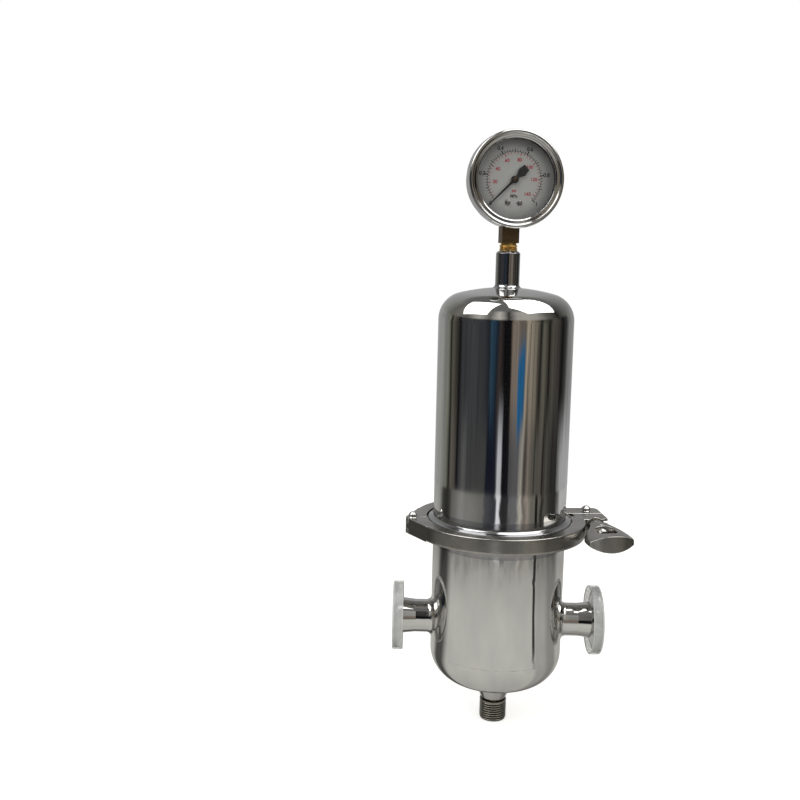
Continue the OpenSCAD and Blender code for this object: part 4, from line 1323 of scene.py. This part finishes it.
UPPER_ROOM = [
    (-180, BACKDROP), (-140, (0.30, 0.30, 0.29)), (-115, (0.155, 0.155, 0.14)),
    (-95, (0.20, 0.195, 0.175)), (-75, (0.15, 0.145, 0.13)), (-51, (0.53, 0.52, 0.48)),
    (-33, (0.15, 0.145, 0.13)), (-16, (0.60, 0.59, 0.55)), (0, (0.03, 0.028, 0.026)),
    (16, (0.43, 0.42, 0.39)), (30, (0.48, 0.47, 0.43)), (50, (0.41, 0.40, 0.36)),
    (70, (0.14, 0.135, 0.12)), (95, (0.02, 0.02, 0.018)), (120, (0.15, 0.15, 0.14)), (180, BACKDROP),
]
BLUE = (0.02, 0.13, 0.30)


def bearing_stops(panels):
    """Ramp stops from (bearing, colour) pairs: -180 to 180 degrees become 0 to 1."""
    return [((bearing + 180) / 360, colour) for bearing, colour in panels]


print("panels in the low, middle and upper room:", len(LOWER_ROOM), len(MIDDLE_ROOM), len(UPPER_ROOM))

# %% [markdown]
# ### The floor
# The camera sees the floor white, with the object's soft shadow. In the steel it is grey near the object
# and takes the low wall's stripes further out, so the stripes run on down the shell. A Light Path node
# tells the two apart. Seen from higher up, the floor's edge still shows in the shell as a level line.

# %% Floor
FLOOR_R = 0.86
FLOOR_Z = -0.0005
NEAR_GREY = (0.58, 0.575, 0.545)
FURTHER_GREY = (0.33, 0.325, 0.305)
LIFT_GREY = (0.34, 0.335, 0.315)
SEEN_GREY = (0.66, 0.655, 0.62, 1)
SEEN_GLOW = 0.62


def floor_material():
    """White with a soft shadow to the camera; in the steel, grey near the object and striped far away."""
    material = bpy.data.materials.new("floor")
    tree = empty_tree(material)
    x, y, _ = coordinates(object_point(tree))
    radius = x.math("SQRT", x * x + y * y)
    bearing = bearing_of(x, y)
    flames = noise(vector(bearing / 9, radius * 9), 1.0, 3.0, 0.6)
    drift = noise(vector(bearing / 34, radius * 5), 1.0, 2.0, 0.5)
    near = mix_colour(radius.step(0.22, 0.62), NEAR_GREY, FURTHER_GREY)
    stripes = ((bearing + (flames - 0.5) * 16 + 180) / 360).ramp(bearing_stops(LOWER_ROOM))
    far = (radius + (flames - 0.5) * 0.34).step(0.42, 0.66)
    # On the left the low wall's panels are dark, so the far floor is lifted there.
    lift = far * (0.40 - 0.36 * bearing.step(-70, -5))
    tone = mix_colour(lift, mix_colour(far, near, stripes), LIFT_GREY)
    left_band = (bearing + 130).step(0, 16) * (1 - (bearing + 102).step(0, 18))
    right_fall = (bearing.step(56, 66) * 0.25 + bearing.step(78, 92) * 0.2) * (1 - bearing.step(104, 118))
    line_at = bearing + (drift - 0.5) * 3
    joint_line = line_at.step(55.2, 56.4) * (1 - line_at.step(60.0, 61.2)) * radius.step(0.15, 0.24)
    shade = (1 - 0.84 * left_band) * (1 - right_fall) * (1 - 0.92 * joint_line)
    shade = shade * (0.80 + 0.36 * drift) * (1 + 0.22 * far)
    seen = light_path(tree, "Is Camera Ray")
    glow = add_node(tree, "ShaderNodeEmission", None, {"Color": WHITE, "Strength": SEEN_GLOW})
    pale = add_node(tree, "ShaderNodeBsdfDiffuse", None, {"Color": SEEN_GREY})
    in_steel = add_node(tree, "ShaderNodeBsdfDiffuse", None, {"Color": shaded(tone, shade)})
    lit = add_node(tree, "ShaderNodeAddShader", None, {0: glow, 1: pale})
    both = add_node(tree, "ShaderNodeMixShader", None, {0: seen, 1: in_steel, 2: lit})
    add_node(tree, "ShaderNodeOutputMaterial", None, {"Surface": both})
    return material


def flat_face(name, points, material):
    """An object of one face through the points."""
    mesh = bpy.data.meshes.new(name)
    mesh.from_pydata(points, [], [list(range(len(points)))])
    mesh.materials.append(material)
    return add_object(name, mesh)


a = full_turn(128)
rim = np.stack([FLOOR_R * np.cos(a), FLOOR_R * np.sin(a), np.full(len(a), FLOOR_Z)], 1)
floor = flat_face("floor", rim, floor_material())
print("floor of radius", FLOOR_R, "m")

# %% [markdown]
# ### The room in the mirrors
# The room is the world as glossy rays see it. A direction has a bearing and a height, in degrees, and the
# three lists become ramps that are read along the bearing. A slow noise bends the panels' edges, and finer
# ones add streaks and thin dark lines. To the camera the world is white, and to all else a soft daylight.


# %% World
CEILING_GREY = (0.16, 0.16, 0.16)
DAYLIGHT = (1.0, 0.995, 0.985, 1)


def build_world():
    """White to the camera, the panelled room to glossy rays, daylight to all others."""
    world = bpy.data.worlds.new("studio")
    bpy.context.scene.world = world
    tree = empty_tree(world)
    direction = add_node(tree, "ShaderNodeTexCoord", out="Generated")
    x, y, z = coordinates(direction)
    height = x.math("ARCSINE", z) * (180 / math.pi)
    bearing = bearing_of(x, y)
    ripple = noise(direction, 6, 2.0)
    bent = bearing + (ripple - 0.5) * 7
    share = (bent + 180) / 360
    low_part, middle, upper = (share.ramp(bearing_stops(r)) for r in (LOWER_ROOM, MIDDLE_ROOM, UPPER_ROOM))
    edge = height + (ripple - 0.5) * 3
    walls = mix_colour(edge.step(-11.5, -7.0), low_part, middle)
    patch = bent.step(18, 20) * (1 - bent.step(28, 30))
    patch = patch * edge.step(-10.4, -8.4) * (1 - edge.step(-5.6, -4.2))
    walls = mix_colour(patch, walls, BLUE)
    walls = shaded(walls, noise(vector(bearing / 3, height / 12), 1.0, 3.0, 0.6) * 1.1 + 0.45)
    threads = noise(vector(bearing / 1.7, height / 26), 1.0, 2.0, 0.6).step(0.56, 0.62)
    threads = threads * bearing.step(30, 38) * (1 - bearing.step(108, 116))
    walls = mix_colour(threads * 0.8, walls, SOOT)
    walls = mix_colour(height.step(8, 16), walls, upper)
    room = mix_colour(height.step(40, 52), walls, CEILING_GREY)
    seen, mirrored = light_path(tree, "Is Camera Ray"), light_path(tree, "Is Glossy Ray")
    plain = add_node(tree, "ShaderNodeBackground", None, {"Color": DAYLIGHT, "Strength": 0.75})
    reflected = add_node(tree, "ShaderNodeBackground", None, {"Color": room, "Strength": 1.0})
    white = add_node(tree, "ShaderNodeBackground", None, {"Color": WHITE, "Strength": 1.0})
    inner = add_node(tree, "ShaderNodeMixShader", None, {0: mirrored, 1: plain, 2: reflected})
    outer = add_node(tree, "ShaderNodeMixShader", None, {0: seen, 1: inner, 2: white})
    add_node(tree, "ShaderNodeOutputWorld", None, {"Surface": outer})
    print("world with", len(tree.nodes), "nodes")


build_world()

# %% [markdown]
# ### Ceiling lights
# The two bright shapes on the dome are ceiling lights with a dark gap between them. They are flat panels
# that mirrors see, but neither the camera nor diffuse light does.

# %% Ceiling lights
CEILING_Z = 1.33
CEILING_WHITE, CEILING_GLOW = (1, 0.995, 0.98, 1), 3.2
LEFT_LIGHT = [(-2.6, -0.25), (-1.15, -1.40), (-0.12, -0.20), (-0.60, 0.30)]
RIGHT_LIGHT = [(0.03, -0.55), (0.86, -1.14), (1.9, 0.1), (0.40, 0.42), (-0.05, 0.25)]


def ceiling_light(name, corners):
    """A bright flat panel that neither camera nor diffuse rays see, and that casts no shadow."""
    material = bpy.data.materials.new(name)
    tree = empty_tree(material)
    glow = add_node(tree, "ShaderNodeEmission", None, {"Color": CEILING_WHITE, "Strength": CEILING_GLOW})
    add_node(tree, "ShaderNodeOutputMaterial", None, {"Surface": glow})
    panel = flat_face(name, [(x, y, CEILING_Z) for x, y in corners], material)
    panel.visible_camera = False
    panel.visible_diffuse = False
    panel.visible_shadow = False
    print(name, "at", CEILING_Z, "m")


ceiling_light("ceiling_light_left", LEFT_LIGHT)
ceiling_light("ceiling_light_right", RIGHT_LIGHT)

# %% [markdown]
# Two area lamps add to the world's daylight on plastic and paint. Mirrors don't see them, because a square
# lamp would show in the steel.

# %% Lamps
AIM = Vector((0, 0, 0.22))


def soft_lamp(name, spot, size, watts):
    """A square lamp aimed at the object. Mirrors don't see it."""
    data = bpy.data.lights.new(name, "AREA")
    data.shape = "SQUARE"
    data.size = size
    data.energy = watts
    lamp = add_object(name, data)
    lamp.location = spot
    lamp.rotation_mode = "QUATERNION"
    lamp.rotation_quaternion = (AIM - Vector(spot)).to_track_quat("-Z", "Y")
    lamp.visible_glossy = False
    print(name, "lamp of", watts, "W")


soft_lamp("key", (-0.9, -1.1, 1.5), 1.0, 16)
soft_lamp("fill", (1.2, -0.9, 0.9), 1.2, 7)
